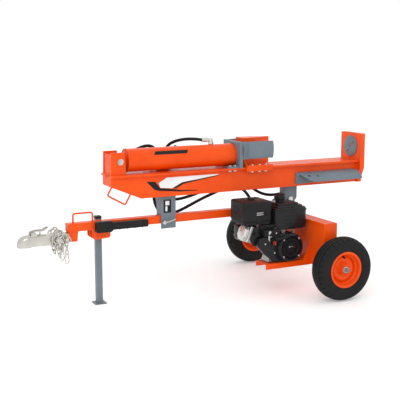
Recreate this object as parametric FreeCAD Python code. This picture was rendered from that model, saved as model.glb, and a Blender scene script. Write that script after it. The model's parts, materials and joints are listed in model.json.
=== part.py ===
import FreeCAD, Part
import math
import os

V = FreeCAD.Vector

# Towable log splitter. While it is modelled, X runs from the hitch (minus) to the log end (plus),
# Y across the wheels, and Z up, with X = 0 over the axle and Z = 0 on the ground.
# At the end everything is moved along X, so that the origin lies under the middle of its length.

# Fits
run_gap = 0.05  # radial gap of a running fit
side_gap = 0.6  # gap between flat faces that move past each other
slide_gap = 0.4  # gap between the ram's shoes and the beam's flange

# Wheels and axle
tyre_radius = 205.0
tyre_width = 119.0
rim_flange_radius = 117.0
bead_radius = 103.0
track = 1136.0
spindle_radius = 12.7
bearing_radius = 23.5
bearing_width = 15.0
hub_radius = 32.0
hub_length = 90.0
axle_nut_width = 30.0

# Oil tank, which is also the axle beam
tank_front = -75.0
tank_rear = 24.0
tank_length = 950.0
tank_bottom = 188.0
tank_top = 480.0
tank_wall = 4.0
tank_cap_x = -28.0
tank_cap_y = 395.0
tank_cap_radius = 21.0

# Tongue and hitch
tongue_size = 50.0
tongue_wall = 5.0
tongue_bottom = 488.0
tongue_front = -1621.0
tongue_end = -5.0
post_front = -1615.0
post_rear = -1556.0
post_bottom = 427.0
stub_length = 105.0
nose_x = -1923.0
coupler_top = 481.0
coupler_bottom = 418.0
coupler_wall = 4.0
ball_socket_radius = 25.8
ball_x = -1885.0
ball_z = 445.0
chain_wire = 3.2
chain_link_length = 38.0
chain_link_width = 25.2
chain_links = 4
chain_slack = 0.3
chain_y = 47.0

# Jack
leg_size = 38.0
leg_wall = 3.0
leg_x = -1405.0
leg_y = 50.0
leg_top = 545.0
leg_pivot_z = 446.0
leg_lock_rise = 27.0
foot_size = 76.0
foot_thick = 6.0
jack_pin_radius = 6.35

# Beam
beam_front = -1359.0
beam_rear = 468.0
beam_bottom = 666.0
beam_top = 819.0
flange_half = 95.0
flange_thick = 13.0
side_outer = 70.0
side_thick = 8.0
slope_rise = 83.4
slope_run = 197.0
pivot_x = -52.0
pivot_z = 575.0
pivot_radius = 12.7
bracket_thick = 6.0
lock_x = -1000.0
lock_z = 499.0
lock_radius = 7.9
lock_travel = 18.0

# Cylinder, rod and wedge
cylinder_z = 900.0
bore_radius = 63.5
barrel_wall = 8.0
barrel_front = -1237.0
barrel_rear = -470.0
cylinder_pin_x = -1294.0
cylinder_pin_radius = 12.7
rod_radius = 31.75
piston_length = 50.0
stroke = 610.0
wedge_front = -435.0
wedge_edge = -210.0
wedge_top = 1007.0
shoe_rear = -237.0
shoe_half = 112.0
foot_thick_plate = 35.0
foot_plate_half = 113.5
foot_plate_top = 1004.0
foot_disc_radius = 74.0
foot_disc_z = 910.0
foot_disc_thick = 8.0

# Engine and pump
mount_front = -414.0
mount_near = -330.0
mount_far = -200.0
mount_top = 222.0
mount_drop = 36.0
mount_wall = 6.0
crank_x = -237.0
crank_z = 318.0
crank_radius = 12.7
engine_y = -235.0
cylinder_tilt = 20.0
pump_face_y = -62.0

axle_z = tyre_radius
tongue_top = tongue_bottom + tongue_size
half_tongue = tongue_size / 2
barrel_radius = bore_radius + barrel_wall
flange_bottom = beam_top - flange_thick
side_inner = side_outer - side_thick
foot_back = beam_rear + foot_thick_plate
origin_shift = -(nose_x + foot_back) / 2

parts_made = []


def save(name, *solids):
    shape = solids[0] if len(solids) == 1 else Part.makeCompound(list(solids))
    shape = shape.copy()
    shape.translate(V(origin_shift, 0, 0))
    shape.exportStep("parts/" + name + ".step")
    parts_made.append(name)


def box(x0, x1, y0, y1, z0, z1):
    return Part.makeBox(x1 - x0, y1 - y0, z1 - z0, V(x0, y0, z0))


def rod_x(x0, x1, y, z, radius):
    return Part.makeCylinder(radius, x1 - x0, V(x0, y, z), V(1, 0, 0))


def rod_y(x, y0, y1, z, radius):
    return Part.makeCylinder(radius, y1 - y0, V(x, y0, z), V(0, 1, 0))


def rod_z(x, y, z0, z1, radius):
    return Part.makeCylinder(radius, z1 - z0, V(x, y, z0), V(0, 0, 1))


def plate_xz(outline, y0, y1):
    wire = Part.makePolygon([V(x, y0, z) for x, z in outline + outline[:1]])
    return Part.Face(wire).extrude(V(0, y1 - y0, 0))


def plate_xy(outline, z0, z1):
    wire = Part.makePolygon([V(x, y, z0) for x, y in outline + outline[:1]])
    return Part.Face(wire).extrude(V(0, 0, z1 - z0))


def plate_yz(outline, x0, x1):
    wire = Part.makePolygon([V(x0, y, z) for y, z in outline + outline[:1]])
    return Part.Face(wire).extrude(V(x1 - x0, 0, 0))


def hexagon_y(x, y0, y1, z, across):
    corners = [(x + across / math.sqrt(3) * math.cos(math.radians(60 * i)),
                z + across / math.sqrt(3) * math.sin(math.radians(60 * i))) for i in range(6)]
    return plate_xz(corners, y0, y1)


def hexagon_z(x, y, z0, z1, across):
    corners = [(x + across / math.sqrt(3) * math.cos(math.radians(60 * i)),
                y + across / math.sqrt(3) * math.sin(math.radians(60 * i))) for i in range(6)]
    return plate_xy(corners, z0, z1)


def mirrored(shape):
    return shape.mirror(V(0, 0, 0), V(0, 1, 0))


def both_sides(shape):
    return [shape, mirrored(shape)]


def rounded(shape, radius, wanted):
    edges = [edge for edge in shape.Edges if wanted(edge)]
    return shape.makeFillet(radius, edges)


def upright(edge):
    a, b = edge.Vertexes[0].Point, edge.Vertexes[-1].Point
    return abs(a.z - b.z) > 1 and abs(a.x - b.x) < 0.01 and abs(a.y - b.y) < 0.01


def along_x(edge):
    a, b = edge.Vertexes[0].Point, edge.Vertexes[-1].Point
    return abs(a.x - b.x) > 1 and abs(a.z - b.z) < 0.01 and abs(a.y - b.y) < 0.01


def across_y(edge):
    a, b = edge.Vertexes[0].Point, edge.Vertexes[-1].Point
    return abs(a.y - b.y) > 1 and abs(a.x - b.x) < 0.01 and abs(a.z - b.z) < 0.01


def at_height(z):
    return lambda edge: all(abs(v.Point.z - z) < 0.01 for v in edge.Vertexes)


def bent_path(points, ratio=0.45):
    """A wire of straight runs joined by tangent arcs, and the radii of its arcs."""
    edges, radii = [], []
    last = points[0]
    for before, corner, after in zip(points, points[1:], points[2:]):
        back, ahead = (before - corner), (after - corner)
        shorter = min(back.Length, ahead.Length)
        back.normalize()
        ahead.normalize()
        turn = math.pi - back.getAngle(ahead)
        cut = ratio * shorter
        radii.append(cut / math.tan(turn / 2))
        middle = (back + ahead)
        middle.normalize()
        centre_distance = radii[-1] / math.cos(turn / 2)
        start, end = corner + back * cut, corner + ahead * cut
        top = corner + middle * (centre_distance - radii[-1])
        edges.append(Part.LineSegment(last, start).toShape())
        edges.append(Part.Arc(start, top, end).toShape())
        last = end
    edges.append(Part.LineSegment(last, points[-1]).toShape())
    return Part.Wire(edges), radii


def hose(name, points, radius):
    path, radii = bent_path(points)
    start = points[0]
    section = Part.Wire(Part.makeCircle(radius, start, points[1] - start))
    tube = path.makePipeShell([section], True, False)
    expected = math.pi * radius ** 2 * path.Length
    print(name, "length", round(path.Length), "radii", [round(r) for r in radii],
          "volume ratio", round(tube.Volume / expected, 4))
    return tube


def bail(corners, radius, bend):
    """A round rod bent with equal bends at its inner corners."""
    edges = []
    last = corners[0]
    for before, corner, after in zip(corners, corners[1:], corners[2:]):
        back, ahead = (before - corner), (after - corner)
        back.normalize()
        ahead.normalize()
        turn = math.pi - back.getAngle(ahead)
        cut = bend * math.tan(turn / 2)
        middle = (back + ahead)
        middle.normalize()
        top = corner + middle * (bend / math.cos(turn / 2) - bend)
        edges.append(Part.LineSegment(last, corner + back * cut).toShape())
        edges.append(Part.Arc(corner + back * cut, top, corner + ahead * cut).toShape())
        last = corner + ahead * cut
    edges.append(Part.LineSegment(last, corners[-1]).toShape())
    section = Part.Wire(Part.makeCircle(radius, corners[0], corners[1] - corners[0]))
    return Part.Wire(edges).makePipeShell([section], True, False)


def arc_face_revolved(points, y_middle):
    """A ring turned about the axle line: points are (radius, y) or three-point arcs [mid, end]."""
    edges = []
    here = points[0]
    for item in points[1:]:
        start = V(0, here[1], here[0])
        if isinstance(item, list):
            mid, end = item
            edges.append(Part.Arc(start, V(0, mid[1], mid[0]), V(0, end[1], end[0])).toShape())
            here = end
        else:
            edges.append(Part.LineSegment(start, V(0, item[1], item[0])).toShape())
            here = item
    ring = Part.Face(Part.Wire(edges)).revolve(V(0, 0, 0), V(0, 1, 0), 360)
    ring = Part.Solid(ring) if ring.ShapeType == "Shell" else ring
    ring.translate(V(0, y_middle, axle_z))
    return ring


# ---- wheels ----
bearing_inset = 2.0
rim_steel = 3.5
rim_half = tyre_width / 2 - 8
hub_half = hub_length / 2


def make_tyre(y_middle):
    wall = 9.0
    half = tyre_width / 2
    bead_half = rim_half - rim_steel
    shoulder = tyre_radius - 14
    clinch = rim_flange_radius + 1
    belly = (shoulder + clinch) / 2
    outline = [
        (bead_radius, -bead_half), (clinch, -bead_half),
        [(belly, -half), (shoulder, -half + 8)],
        [(tyre_radius, 0), (shoulder, half - 8)],
        [(belly, half), (clinch, bead_half)], (bead_radius, bead_half),
        (bead_radius, bead_half - wall),
        [(belly, half - wall), (shoulder - wall, half - 8 - wall)],
        [(tyre_radius - wall - 2, 0), (shoulder - wall, -half + 8 + wall)],
        [(belly, -half + wall), (bead_radius, -bead_half + wall)],
        (bead_radius, -bead_half),
    ]
    return arc_face_revolved(outline, y_middle)


def make_rim(y_middle, outward):
    steel = rim_steel
    seat = bead_radius
    lip = rim_half
    well = seat - 16
    outline = [
        (rim_flange_radius, -lip), (rim_flange_radius, -lip + steel), (seat, -lip + steel),
        (seat, -24), (well, -14), (well, 14), (seat, 24), (seat, lip - steel),
        (rim_flange_radius, lip - steel), (rim_flange_radius, lip), (seat - steel, lip),
        (seat - steel, 26), (well - steel, 16), (well - steel, -16), (seat - steel, -26),
        (seat - steel, -lip), (rim_flange_radius, -lip),
    ]
    barrel = arc_face_revolved(outline, y_middle)
    dish = outward * 12
    disc = [
        (well - steel, dish), (60, dish + outward * 8), (hub_radius, dish + outward * 8),
        (hub_radius, dish + outward * (8 - steel)), (60, dish + outward * (8 - steel)),
        (well - steel, dish - outward * steel), (well - steel, dish),
    ]
    web = arc_face_revolved(disc, y_middle)
    hub = rod_y(0, y_middle - hub_half, y_middle + hub_half, axle_z, hub_radius)
    bore = rod_y(0, y_middle - hub_half, y_middle + hub_half, axle_z, bearing_radius + run_gap)
    stem = rod_y(0, 0, 34, axle_z, 5)
    stem.translate(V(0, y_middle + (4 if outward > 0 else -38), 82))
    body = barrel.fuse([web, hub]).cut(bore)
    return body.fuse(stem).removeSplitter()


def make_bearings():
    rings = []
    for side in (-1, 1):
        for end in (-1, 1):
            middle = side * track / 2 + end * (hub_half - bearing_inset - bearing_width / 2)
            y0, y1 = middle - bearing_width / 2, middle + bearing_width / 2
            outer = rod_y(0, y0, y1, axle_z, bearing_radius)
            rings.append(outer.cut(rod_y(0, y0, y1, axle_z, spindle_radius)))
    return rings


def make_spindles():
    plate_thick = 8.0
    plate_end = tank_length / 2 + plate_thick
    shoulder_end = track / 2 - hub_half + bearing_inset - 0.5
    end = track / 2 + hub_half + 25
    plate = box(tank_front + 12, tank_rear - 4, tank_length / 2, plate_end, tank_bottom + 2, tank_bottom + 92)
    shoulder = rod_y(0, plate_end, shoulder_end, axle_z, spindle_radius + 4)
    bar = rod_y(0, shoulder_end, end, axle_z, spindle_radius)
    return both_sides(plate.fuse([shoulder, bar]).removeSplitter())


def make_axle_nuts():
    start = track / 2 + hub_half - bearing_inset
    hole = rod_y(0, start, start + 40, axle_z, spindle_radius)
    washer = rod_y(0, start, start + 3, axle_z, bearing_radius - 3)
    nut = hexagon_y(0, start + 3, start + 19, axle_z, axle_nut_width)
    return both_sides(washer.fuse(nut).cut(hole).removeSplitter())


# ---- tank, tongue, hitch ----
filter_x = -25.0
filter_y = 90.0
filter_height = 58.0
suction_y = 38.0
suction_z = 262.0
hose_radius = 10.0
suction_radius = 15.0


def make_tank():
    half = tank_length / 2
    shell = box(tank_front, tank_rear, -half, half, tank_bottom, tank_top)
    shell = rounded(shell, 5, lambda edge: not along_x(edge) and not upright(edge))
    hollow = box(tank_front + tank_wall, tank_rear - tank_wall, -half + tank_wall, half - tank_wall,
                 tank_bottom + tank_wall, tank_top - tank_wall)
    neck = rod_z(tank_cap_x, tank_cap_y, tank_top - 1, tank_top + 14, 15)
    filter_boss = rod_z(filter_x, filter_y, tank_top - 1, tank_top + 8, 26)
    suction_boss = rod_x(tank_front - 14, tank_front + 1, suction_y, suction_z, suction_radius + 4)
    pad = box(tank_front + 6, tongue_end, -38, 38, tank_top - 1, tongue_bottom)
    gusset = plate_xz([(tank_front, tongue_bottom), (tank_front - 95, tongue_bottom),
                       (tank_front, tank_top - 90)], 12, 18)
    body = shell.fuse([neck, filter_boss, suction_boss, pad, gusset, mirrored(gusset)])
    holes = [rod_z(tank_cap_x, tank_cap_y, tank_top - 10, tank_top + 14, 11),
             rod_z(filter_x, filter_y, tank_top - 10, tank_top + 8, 17),
             rod_x(tank_front - 14, tank_front + 10, suction_y, suction_z, suction_radius - 3)]
    return body.cut([hollow] + holes).removeSplitter()


def make_tank_cap():
    seat = tank_top + 14 + side_gap
    knob = rod_z(tank_cap_x, tank_cap_y, seat, seat + 13, tank_cap_radius)
    skirt = rod_z(tank_cap_x, tank_cap_y, seat - 9, seat, 19)
    skirt = skirt.cut(rod_z(tank_cap_x, tank_cap_y, seat - 9, seat, 15 + side_gap))
    plug = rod_z(tank_cap_x, tank_cap_y, seat - 8, seat, 11 - side_gap)
    body = knob.fuse([skirt, plug])
    for i in range(12):
        angle = math.radians(30 * i)
        x = tank_cap_x + (tank_cap_radius + 1.5) * math.cos(angle)
        y = tank_cap_y + (tank_cap_radius + 1.5) * math.sin(angle)
        body = body.cut(rod_z(x, y, seat, seat + 13, 3.5))
    return body


def make_tongue():
    tube = box(tongue_front, tongue_end, -half_tongue, half_tongue, tongue_bottom, tongue_top)
    inner = half_tongue - tongue_wall
    hollow = box(tongue_front + tongue_wall, tongue_end, -inner, inner,
                 tongue_bottom + tongue_wall, tongue_top - tongue_wall)
    post = plate_xz([(post_front, tongue_bottom), (post_front, post_bottom), (post_rear - 6, post_bottom),
                     (post_rear, tongue_bottom)], -half_tongue, half_tongue)
    stub_half = half_tongue
    stub_top = coupler_top - coupler_wall
    stub = box(post_front - stub_length, post_front, -stub_half, stub_half, post_bottom + 4, stub_top)
    stub = stub.cut(box(post_front - stub_length, post_front, -inner, inner, post_bottom + 9, stub_top - 5))
    lug_outline = [(pivot_x - 40, tongue_top), (pivot_x - 26, pivot_z), (pivot_x - 16, pivot_z + 22),
                   (pivot_x + 16, pivot_z + 22), (pivot_x + 26, pivot_z), (pivot_x + 38, tongue_top)]
    lug = plate_xz(lug_outline, -half_tongue - 5, half_tongue + 5)
    body = tube.fuse([post, stub, lug]).cut(hollow)
    pivot_hole = rod_y(pivot_x, -half_tongue - 6, half_tongue + 6, pivot_z, pivot_radius + run_gap)
    lock_hole = rod_y(lock_x, -half_tongue - 1, 0, lock_z, lock_radius + run_gap)
    bolt_holes = [rod_y(x, -half_tongue - 1, half_tongue + 1, coupler_bolt_z, coupler_bolt_radius)
                  for x in coupler_bolt_xs]
    return body.cut([pivot_hole, lock_hole] + bolt_holes).removeSplitter()


coupler_bolt_radius = 6.0
coupler_bolt_z = 452.0
coupler_bolt_xs = (post_front - 80, post_front - 22)


def make_coupler():
    half = half_tongue + 1 + coupler_wall
    inner = half - coupler_wall
    rear = post_front - side_gap
    channel = box(ball_x + 20, rear, -half, half, coupler_bottom + 4, coupler_top)
    channel = rounded(channel, 5, lambda edge: along_x(edge) and at_height(coupler_top)(edge))
    dome_radius = ball_socket_radius + 7
    dome = Part.makeSphere(dome_radius, V(ball_x, 0, ball_z))
    dome = dome.common(box(ball_x - 60, ball_x + 60, -60, 60, coupler_bottom, coupler_top + 20))
    collar = rod_z(ball_x, 0, coupler_bottom, ball_z, dome_radius)
    lip = rod_z(ball_x, 0, coupler_bottom, coupler_bottom + 4, -nose_x + ball_x)
    taper = plate_xz([(ball_x - 6, ball_z + dome_radius - 2), (ball_x + 70, coupler_top),
                      (ball_x + 70, ball_z), (ball_x - 6, ball_z)], -18, 18)
    tower = box(latch_x - 14, latch_x + 14, -half, half, coupler_top - 1, latch_z + 10)
    slot = box(latch_x - 20, latch_x + 20, -half + 6, half - 6, coupler_top + 3, latch_z + 20)
    pin_hole = rod_y(latch_x, -half, half, latch_z, 5)
    hollow = box(ball_x + 30, rear, -inner, inner, coupler_bottom, coupler_top - coupler_wall)
    socket = rod_z(ball_x, 0, coupler_bottom - 1, ball_z, ball_socket_radius)
    ball_top = Part.makeSphere(ball_socket_radius, V(ball_x, 0, ball_z))
    way_back = box(ball_x, ball_x + 40, -17, 17, coupler_bottom - 1, ball_z + 10)
    body = channel.fuse([dome, collar, lip, taper, tower])
    bolt_holes = [rod_y(x, -half, half, coupler_bolt_z, coupler_bolt_radius) for x in coupler_bolt_xs]
    stem_hole = rod_z(latch_x, 0, coupler_top - 10, coupler_top + 10, 9)
    return body.cut([hollow, socket, ball_top, way_back, slot, pin_hole, stem_hole] + bolt_holes).removeSplitter()


latch_x = -1832.0
latch_z = 497.0


def make_latch():
    """The hand lever over the hitch, with its pivot pin."""
    half = half_tongue + 1 + coupler_wall
    arm = box(latch_x - 8, latch_x + 62, -14, 14, latch_z + 4, latch_z + 20)
    grip = plate_xz([(latch_x + 62, latch_z + 20), (latch_x + 90, latch_z + 36),
                     (latch_x + 90, latch_z + 28), (latch_x + 62, latch_z + 4)], -14, 14)
    eye = rod_y(latch_x, -14, 14, latch_z, 9)
    cheek = box(latch_x - 8, latch_x + 9, -14, 14, latch_z, latch_z + 8)
    pin = rod_y(latch_x, -half - 3, half + 3, latch_z, 5 - run_gap)
    thin = box(latch_x + 12, latch_x + 88, -10, 10, latch_z, latch_z + 17)
    return arm.fuse([grip, eye, cheek]).cut(thin).fuse(pin).removeSplitter()


def make_clamp():
    """The jaw that closes under the ball, on the stem that the lever lifts."""
    jaw_front = ball_x + ball_socket_radius + 1.2
    jaw = box(jaw_front, jaw_front + 13, -15, 15, coupler_bottom + 7, coupler_bottom + 24)
    foot = box(jaw_front + 13, latch_x + 8, -10, 10, coupler_bottom + 7, coupler_bottom + 15)
    stem = rod_z(latch_x, 0, coupler_bottom + 7, latch_z - 10, 6)
    return jaw.fuse([foot, stem]).removeSplitter()


def chain_link(centre, flat):
    """One link with its long axis upright, lying across Y when flat and across X otherwise."""
    reach = chain_link_width / 2 - chain_wire
    straight = chain_link_length / 2 - chain_link_width / 2
    side = V(0, 1, 0) if flat else V(1, 0, 0)
    up = V(0, 0, 1)
    a, b = centre + side * reach + up * straight, centre - side * reach + up * straight
    c, d = centre - side * reach - up * straight, centre + side * reach - up * straight
    edges = [Part.Arc(a, centre + up * (straight + reach), b).toShape(),
             Part.LineSegment(b, c).toShape(),
             Part.Arc(c, centre - up * (straight + reach), d).toShape(),
             Part.LineSegment(d, a).toShape()]
    section = Part.Wire(Part.makeCircle(chain_wire, a, up))
    return Part.Wire(edges).makePipeShell([section], True, False)


def make_chain(side, bolt_x):
    """A chain that hangs on its bolt, with the hook at its lower end."""
    y = side * chain_y
    pitch = chain_link_length - 4 * chain_wire - chain_slack
    inner_half = chain_link_length / 2 - 2 * chain_wire
    first = coupler_bolt_z + coupler_bolt_radius + chain_slack - inner_half
    links = [chain_link(V(bolt_x, y, first - i * pitch), i % 2 == 1) for i in range(chain_links)]
    last_low = first - (chain_links - 1) * pitch - inner_half
    hook_wire = chain_wire + 0.6
    eye = last_low + hook_wire + chain_slack
    hook = bail([V(bolt_x + 9, y, eye - 20), V(bolt_x + 9, y, eye), V(bolt_x - 9, y, eye),
                 V(bolt_x - 10, y, eye - 48), V(bolt_x + 12, y, eye - 48), V(bolt_x + 11, y, eye - 27)],
                hook_wire, 7)
    return links + [hook]


def make_tongue_handle():
    x0, x1 = -1580.0, -1456.0
    top = tongue_top + 56
    return bail([V(x0, 0, tongue_top), V(x0, 0, top), V(x1, 0, top), V(x1, 0, tongue_top)], 5.5, 14)


# ---- manual holder ----
holder_front, holder_rear = -1430.0, -1108.0
holder_y = -half_tongue - 20
holder_z = 506.0
holder_cap_rear = -1342.0


def holder_section(x0, x1, half_y, half_z, radius):
    shape = box(x0, x1, holder_y - half_y, holder_y + half_y, holder_z - half_z, holder_z + half_z)
    return rounded(shape, radius, along_x)


def make_holder():
    body = holder_section(holder_front, holder_rear, 16, 23, 9)
    hollow = holder_section(holder_front, holder_rear - 4, 13, 20, 6)
    catch = rod_y(holder_rear - 22, holder_y - 20, holder_y - 16, holder_z, 13)
    strap = box(-1200, -1180, holder_y + 16, -half_tongue, holder_z - 14, holder_z + 14)
    second = box(-1320, -1300, holder_y + 16, -half_tongue, holder_z - 14, holder_z + 14)
    return body.cut(hollow).fuse([catch, strap, second]).removeSplitter()


def make_holder_cap():
    front = -1452.0
    gap = side_gap
    body = holder_section(front, holder_cap_rear, 19.3, 34, 11)
    hollow = holder_section(holder_front - gap - 1, holder_cap_rear, 16 + gap, 23 + gap, 9)
    return body.cut(hollow)


# ---- jack ----
def make_jack_bracket():
    """Two cheeks round the leg, joined under the tongue, with a skirt on the near side."""
    x0, x1 = -1466.0, -1350.0
    z0, z1 = 425.0, tongue_bottom
    cheek = 5.0
    inner = leg_y - leg_size / 2 - side_gap
    outer = leg_y + leg_size / 2 + side_gap
    outline = [(x0, z0 + 14), (x0 + 14, z0), (x1 - 8, z0 + 6), (x1, z0 + 16), (x1, z1), (x0, z1)]
    near = plate_xz(outline, -half_tongue, -half_tongue + cheek)
    middle = plate_xz(outline, inner - cheek, inner)
    far = plate_xz(outline, outer, outer + cheek)
    bridge = box(x0, x1, -half_tongue, inner, z1 - 6, z1)
    tie = box(x1 - 6, x1, -half_tongue, outer + cheek, z1 - 18, z1)
    holes = [rod_y(leg_x, inner - 60, outer + 20, leg_pivot_z, jack_pin_radius),
             rod_y(leg_x, outer - 1, outer + 20, leg_pivot_z + leg_lock_rise, jack_pin_radius + run_gap),
             rod_y(x0 + 28, -half_tongue - 1, -half_tongue + 20, z0 + 20, 5)]
    return near.fuse([middle, far, bridge, tie]).cut(holes).removeSplitter()


def make_jack_leg():
    half = leg_size / 2
    tube = box(leg_x - half, leg_x + half, leg_y - half, leg_y + half, foot_thick, leg_top)
    tube = rounded(tube, 3, upright)
    inner = half - leg_wall
    hollow = box(leg_x - inner, leg_x + inner, leg_y - inner, leg_y + inner, foot_thick, leg_top)
    foot = box(leg_x - foot_size / 2, leg_x + foot_size / 2,
               leg_y - foot_size / 2, leg_y + foot_size / 2, 0, foot_thick)
    foot = rounded(foot, 5, upright)
    holes = [rod_y(leg_x, leg_y - 60, leg_y + 60, leg_pivot_z, jack_pin_radius + run_gap),
             rod_y(leg_x, leg_y, leg_y + 60, leg_pivot_z + leg_lock_rise, jack_pin_radius + run_gap)]
    return tube.cut(hollow).fuse(foot).cut(holes).removeSplitter()


def make_jack_cap():
    half = leg_size / 2
    inner = half - leg_wall
    top = box(leg_x - half - 1, leg_x + half + 1, leg_y - half - 1, leg_y + half + 1, leg_top, leg_top + 14)
    top = rounded(top, 4, upright)
    plug = box(leg_x - inner, leg_x + inner, leg_y - inner, leg_y + inner, leg_top - 12, leg_top)
    return top.fuse(plug).removeSplitter()


def make_jack_pin():
    start = leg_y + leg_size / 2 + side_gap
    z = leg_pivot_z + leg_lock_rise
    pin = rod_y(leg_x, start, start + 42, z, jack_pin_radius)
    ring = Part.makeTorus(12, 2, V(leg_x, start + 38, z + 12), V(1, 0, 0))
    return pin.fuse(ring).removeSplitter()


# ---- fasteners of the frame ----
def bolt_y(x, y0, y1, z, radius):
    shank = rod_y(x, y0, y1, z, radius)
    head = hexagon_y(x, y0 - radius * 1.2, y0, z, radius * 3.2)
    nut = hexagon_y(x, y1, y1 + radius * 1.6, z, radius * 3.2)
    return shank.fuse([head, nut]).removeSplitter()


def bolt_z(x, y, z0, z1, radius):
    shank = rod_z(x, y, z0, z1, radius)
    below = hexagon_z(x, y, z0 - radius * 1.4, z0, radius * 3.2)
    above = hexagon_z(x, y, z1, z1 + radius * 1.3, radius * 3.2)
    return shank.fuse([below, above]).removeSplitter()


engine_bolt_xs = (crank_x - 75, crank_x + 75)
engine_bolt_ys = (-284.0, -222.0)
engine_base_thick = 14.0


def make_frame_bolts():
    bolts = []
    chain_reach = chain_y + 2 * chain_wire
    for x in coupler_bolt_xs:
        bolts.append(bolt_y(x, -chain_reach, chain_reach, coupler_bolt_z, coupler_bolt_radius))
    cheek_far = leg_y + leg_size / 2 + side_gap + 5
    cheek_near = leg_y - leg_size / 2 - side_gap - 5
    bolts.append(bolt_y(leg_x, cheek_near, cheek_far, leg_pivot_z, jack_pin_radius))
    for x in engine_bolt_xs:
        for y in engine_bolt_ys:
            bolts.append(bolt_z(x, y, mount_top - mount_wall, mount_top + engine_base_thick, 4))
    return bolts + make_axle_nuts()


# ---- engine mount, engine and pump ----
def make_engine_mount():
    top = box(mount_front, tank_front, mount_near, mount_far, mount_top - mount_wall, mount_top)
    near = box(mount_front, tank_front, mount_near, mount_near + mount_wall, mount_top - mount_drop, mount_top)
    far = box(mount_front, tank_front, mount_far - mount_wall, mount_far, mount_top - mount_drop, mount_top)
    rib = plate_xz([(tank_front, mount_top), (tank_front - 58, mount_top),
                    (tank_front, mount_top + 112)], mount_near, mount_near + mount_wall)
    body = top.fuse([near, far, rib])
    holes = [rod_z(x, y, mount_top - 20, mount_top, 4) for x in engine_bolt_xs for y in engine_bolt_ys]
    return body.cut(holes).removeSplitter()


case_near, case_far = -298.0, -172.0
case_half = 84.0
case_top = 398.0
case_wall = 6.0


def tilted(shape):
    """Turns a shape built along -X from the crankshaft up to the cylinder's slant."""
    shape = shape.copy()
    shape.rotate(V(crank_x, 0, crank_z), V(0, 1, 0), cylinder_tilt)
    return shape


def make_crankcase():
    base_top = mount_top + engine_base_thick
    outline = [(crank_x - case_half, base_top - 2), (crank_x + case_half, base_top - 2),
               (crank_x + case_half, case_top - 20), (crank_x + case_half - 24, case_top),
               (crank_x - 30, case_top), (crank_x - case_half, crank_z + 30)]
    shell = plate_xz(outline, case_near, case_far)
    base = box(crank_x - case_half - 10, crank_x + case_half + 10, case_near, -208, mount_top, base_top)
    sump = plate_xz([(crank_x - case_half - 55, mount_top + 3), (crank_x - case_half, mount_top + 3),
                     (crank_x - case_half, crank_z + 8), (crank_x - case_half - 14, crank_z)],
                    case_near + 8, case_far - 30)
    cover = rod_y(crank_x, case_far, case_far + 10, crank_z, 72)
    posts = [box(x, x + 14, y, y + 20, case_top, tank_floor)
             for x in (crank_x - 26, crank_x + 44) for y in (-290, -200)]
    hollow = box(crank_x - case_half + 8, crank_x + case_half - 8, case_near + 8, case_far - 2,
                 base_top + 6, case_top - 30)
    shaft = rod_y(crank_x, case_near - 1, case_far + 11, crank_z, crank_radius + run_gap)
    holes = [rod_z(x, y, mount_top, base_top + 1, 4) for x in engine_bolt_xs for y in engine_bolt_ys]
    pockets = [rod_z(x, y, base_top, base_top + 12, 9) for x in engine_bolt_xs for y in engine_bolt_ys]
    body = shell.fuse([base, sump, cover] + posts)
    return body.cut([hollow, shaft] + holes + pockets).removeSplitter()


def make_engine_cylinder():
    """Barrel with its cooling fins, and the head."""
    start = crank_x - 92
    half = 50.0
    pieces = [box(crank_x - 285, start, engine_y - 36, engine_y + 36, crank_z - 34, crank_z + 36)]
    for i in range(9):
        x = crank_x - 112 - 13 * i
        pieces.append(box(x - 3, x, engine_y - half, engine_y + half, crank_z - half, crank_z + half))
    head = box(crank_x - 285, crank_x - 240, engine_y - half, engine_y + half, crank_z - half, crank_z + half)
    return tilted(pieces[0].fuse(pieces[1:] + [head]).removeSplitter())


def make_valve_cover():
    x0, x1 = crank_x - 317, crank_x - 285
    points = []
    for i in range(8):
        angle = math.radians(22.5 + 45 * i)
        points.append((engine_y + 46 * math.cos(angle), crank_z + 54 * math.sin(angle)))
    cover = plate_yz(points, x0, x1)
    flange = plate_yz([(y + (4 if y > engine_y else -4), z)
                       for y, z in points], x1 - 5, x1)
    bolt = rod_x(x0 - 7, x0, engine_y, crank_z, 7)
    return tilted(cover.fuse([flange, bolt]).removeSplitter())


cleaner_front, cleaner_rear = -550.0, -346.0
cleaner_near, cleaner_far = -290.0, -86.0
cleaner_floor, cleaner_top = 476.0, 622.0
tank_floor = 438.0
fuel_front, fuel_rear = -338.0, -96.0
fuel_near, fuel_far = -325.0, -92.0
fuel_seam, fuel_roof = 560.0, 596.0
fuel_cap_x, fuel_cap_y = -241.0, -200.0


def make_air_cleaner():
    body = box(cleaner_front, cleaner_rear, cleaner_near, cleaner_far, cleaner_floor, cleaner_top)
    body = rounded(body, 24, upright)
    body = rounded(body, 12, at_height(cleaner_top))
    inner = box(cleaner_front + 4, cleaner_rear - 4, cleaner_near + 4, cleaner_far - 4,
                cleaner_floor - 1, cleaner_top - 4)
    inner = rounded(inner, 20, upright)
    backplate = box(cleaner_front + 26, cleaner_rear - 26, cleaner_near + 26, cleaner_far - 26,
                    cleaner_floor, cleaner_floor + 4)
    element = box(cleaner_front + 40, cleaner_rear - 40, cleaner_near + 40, cleaner_far - 40,
                  cleaner_floor + 4, cleaner_top - 4)
    rim = box(cleaner_front + 4, cleaner_rear - 4, cleaner_near + 4, cleaner_far - 4,
              cleaner_floor, cleaner_floor + 4)
    rim = rounded(rim, 20, upright)
    return body.cut(inner).fuse([rim, backplate, element]).removeSplitter()


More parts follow.
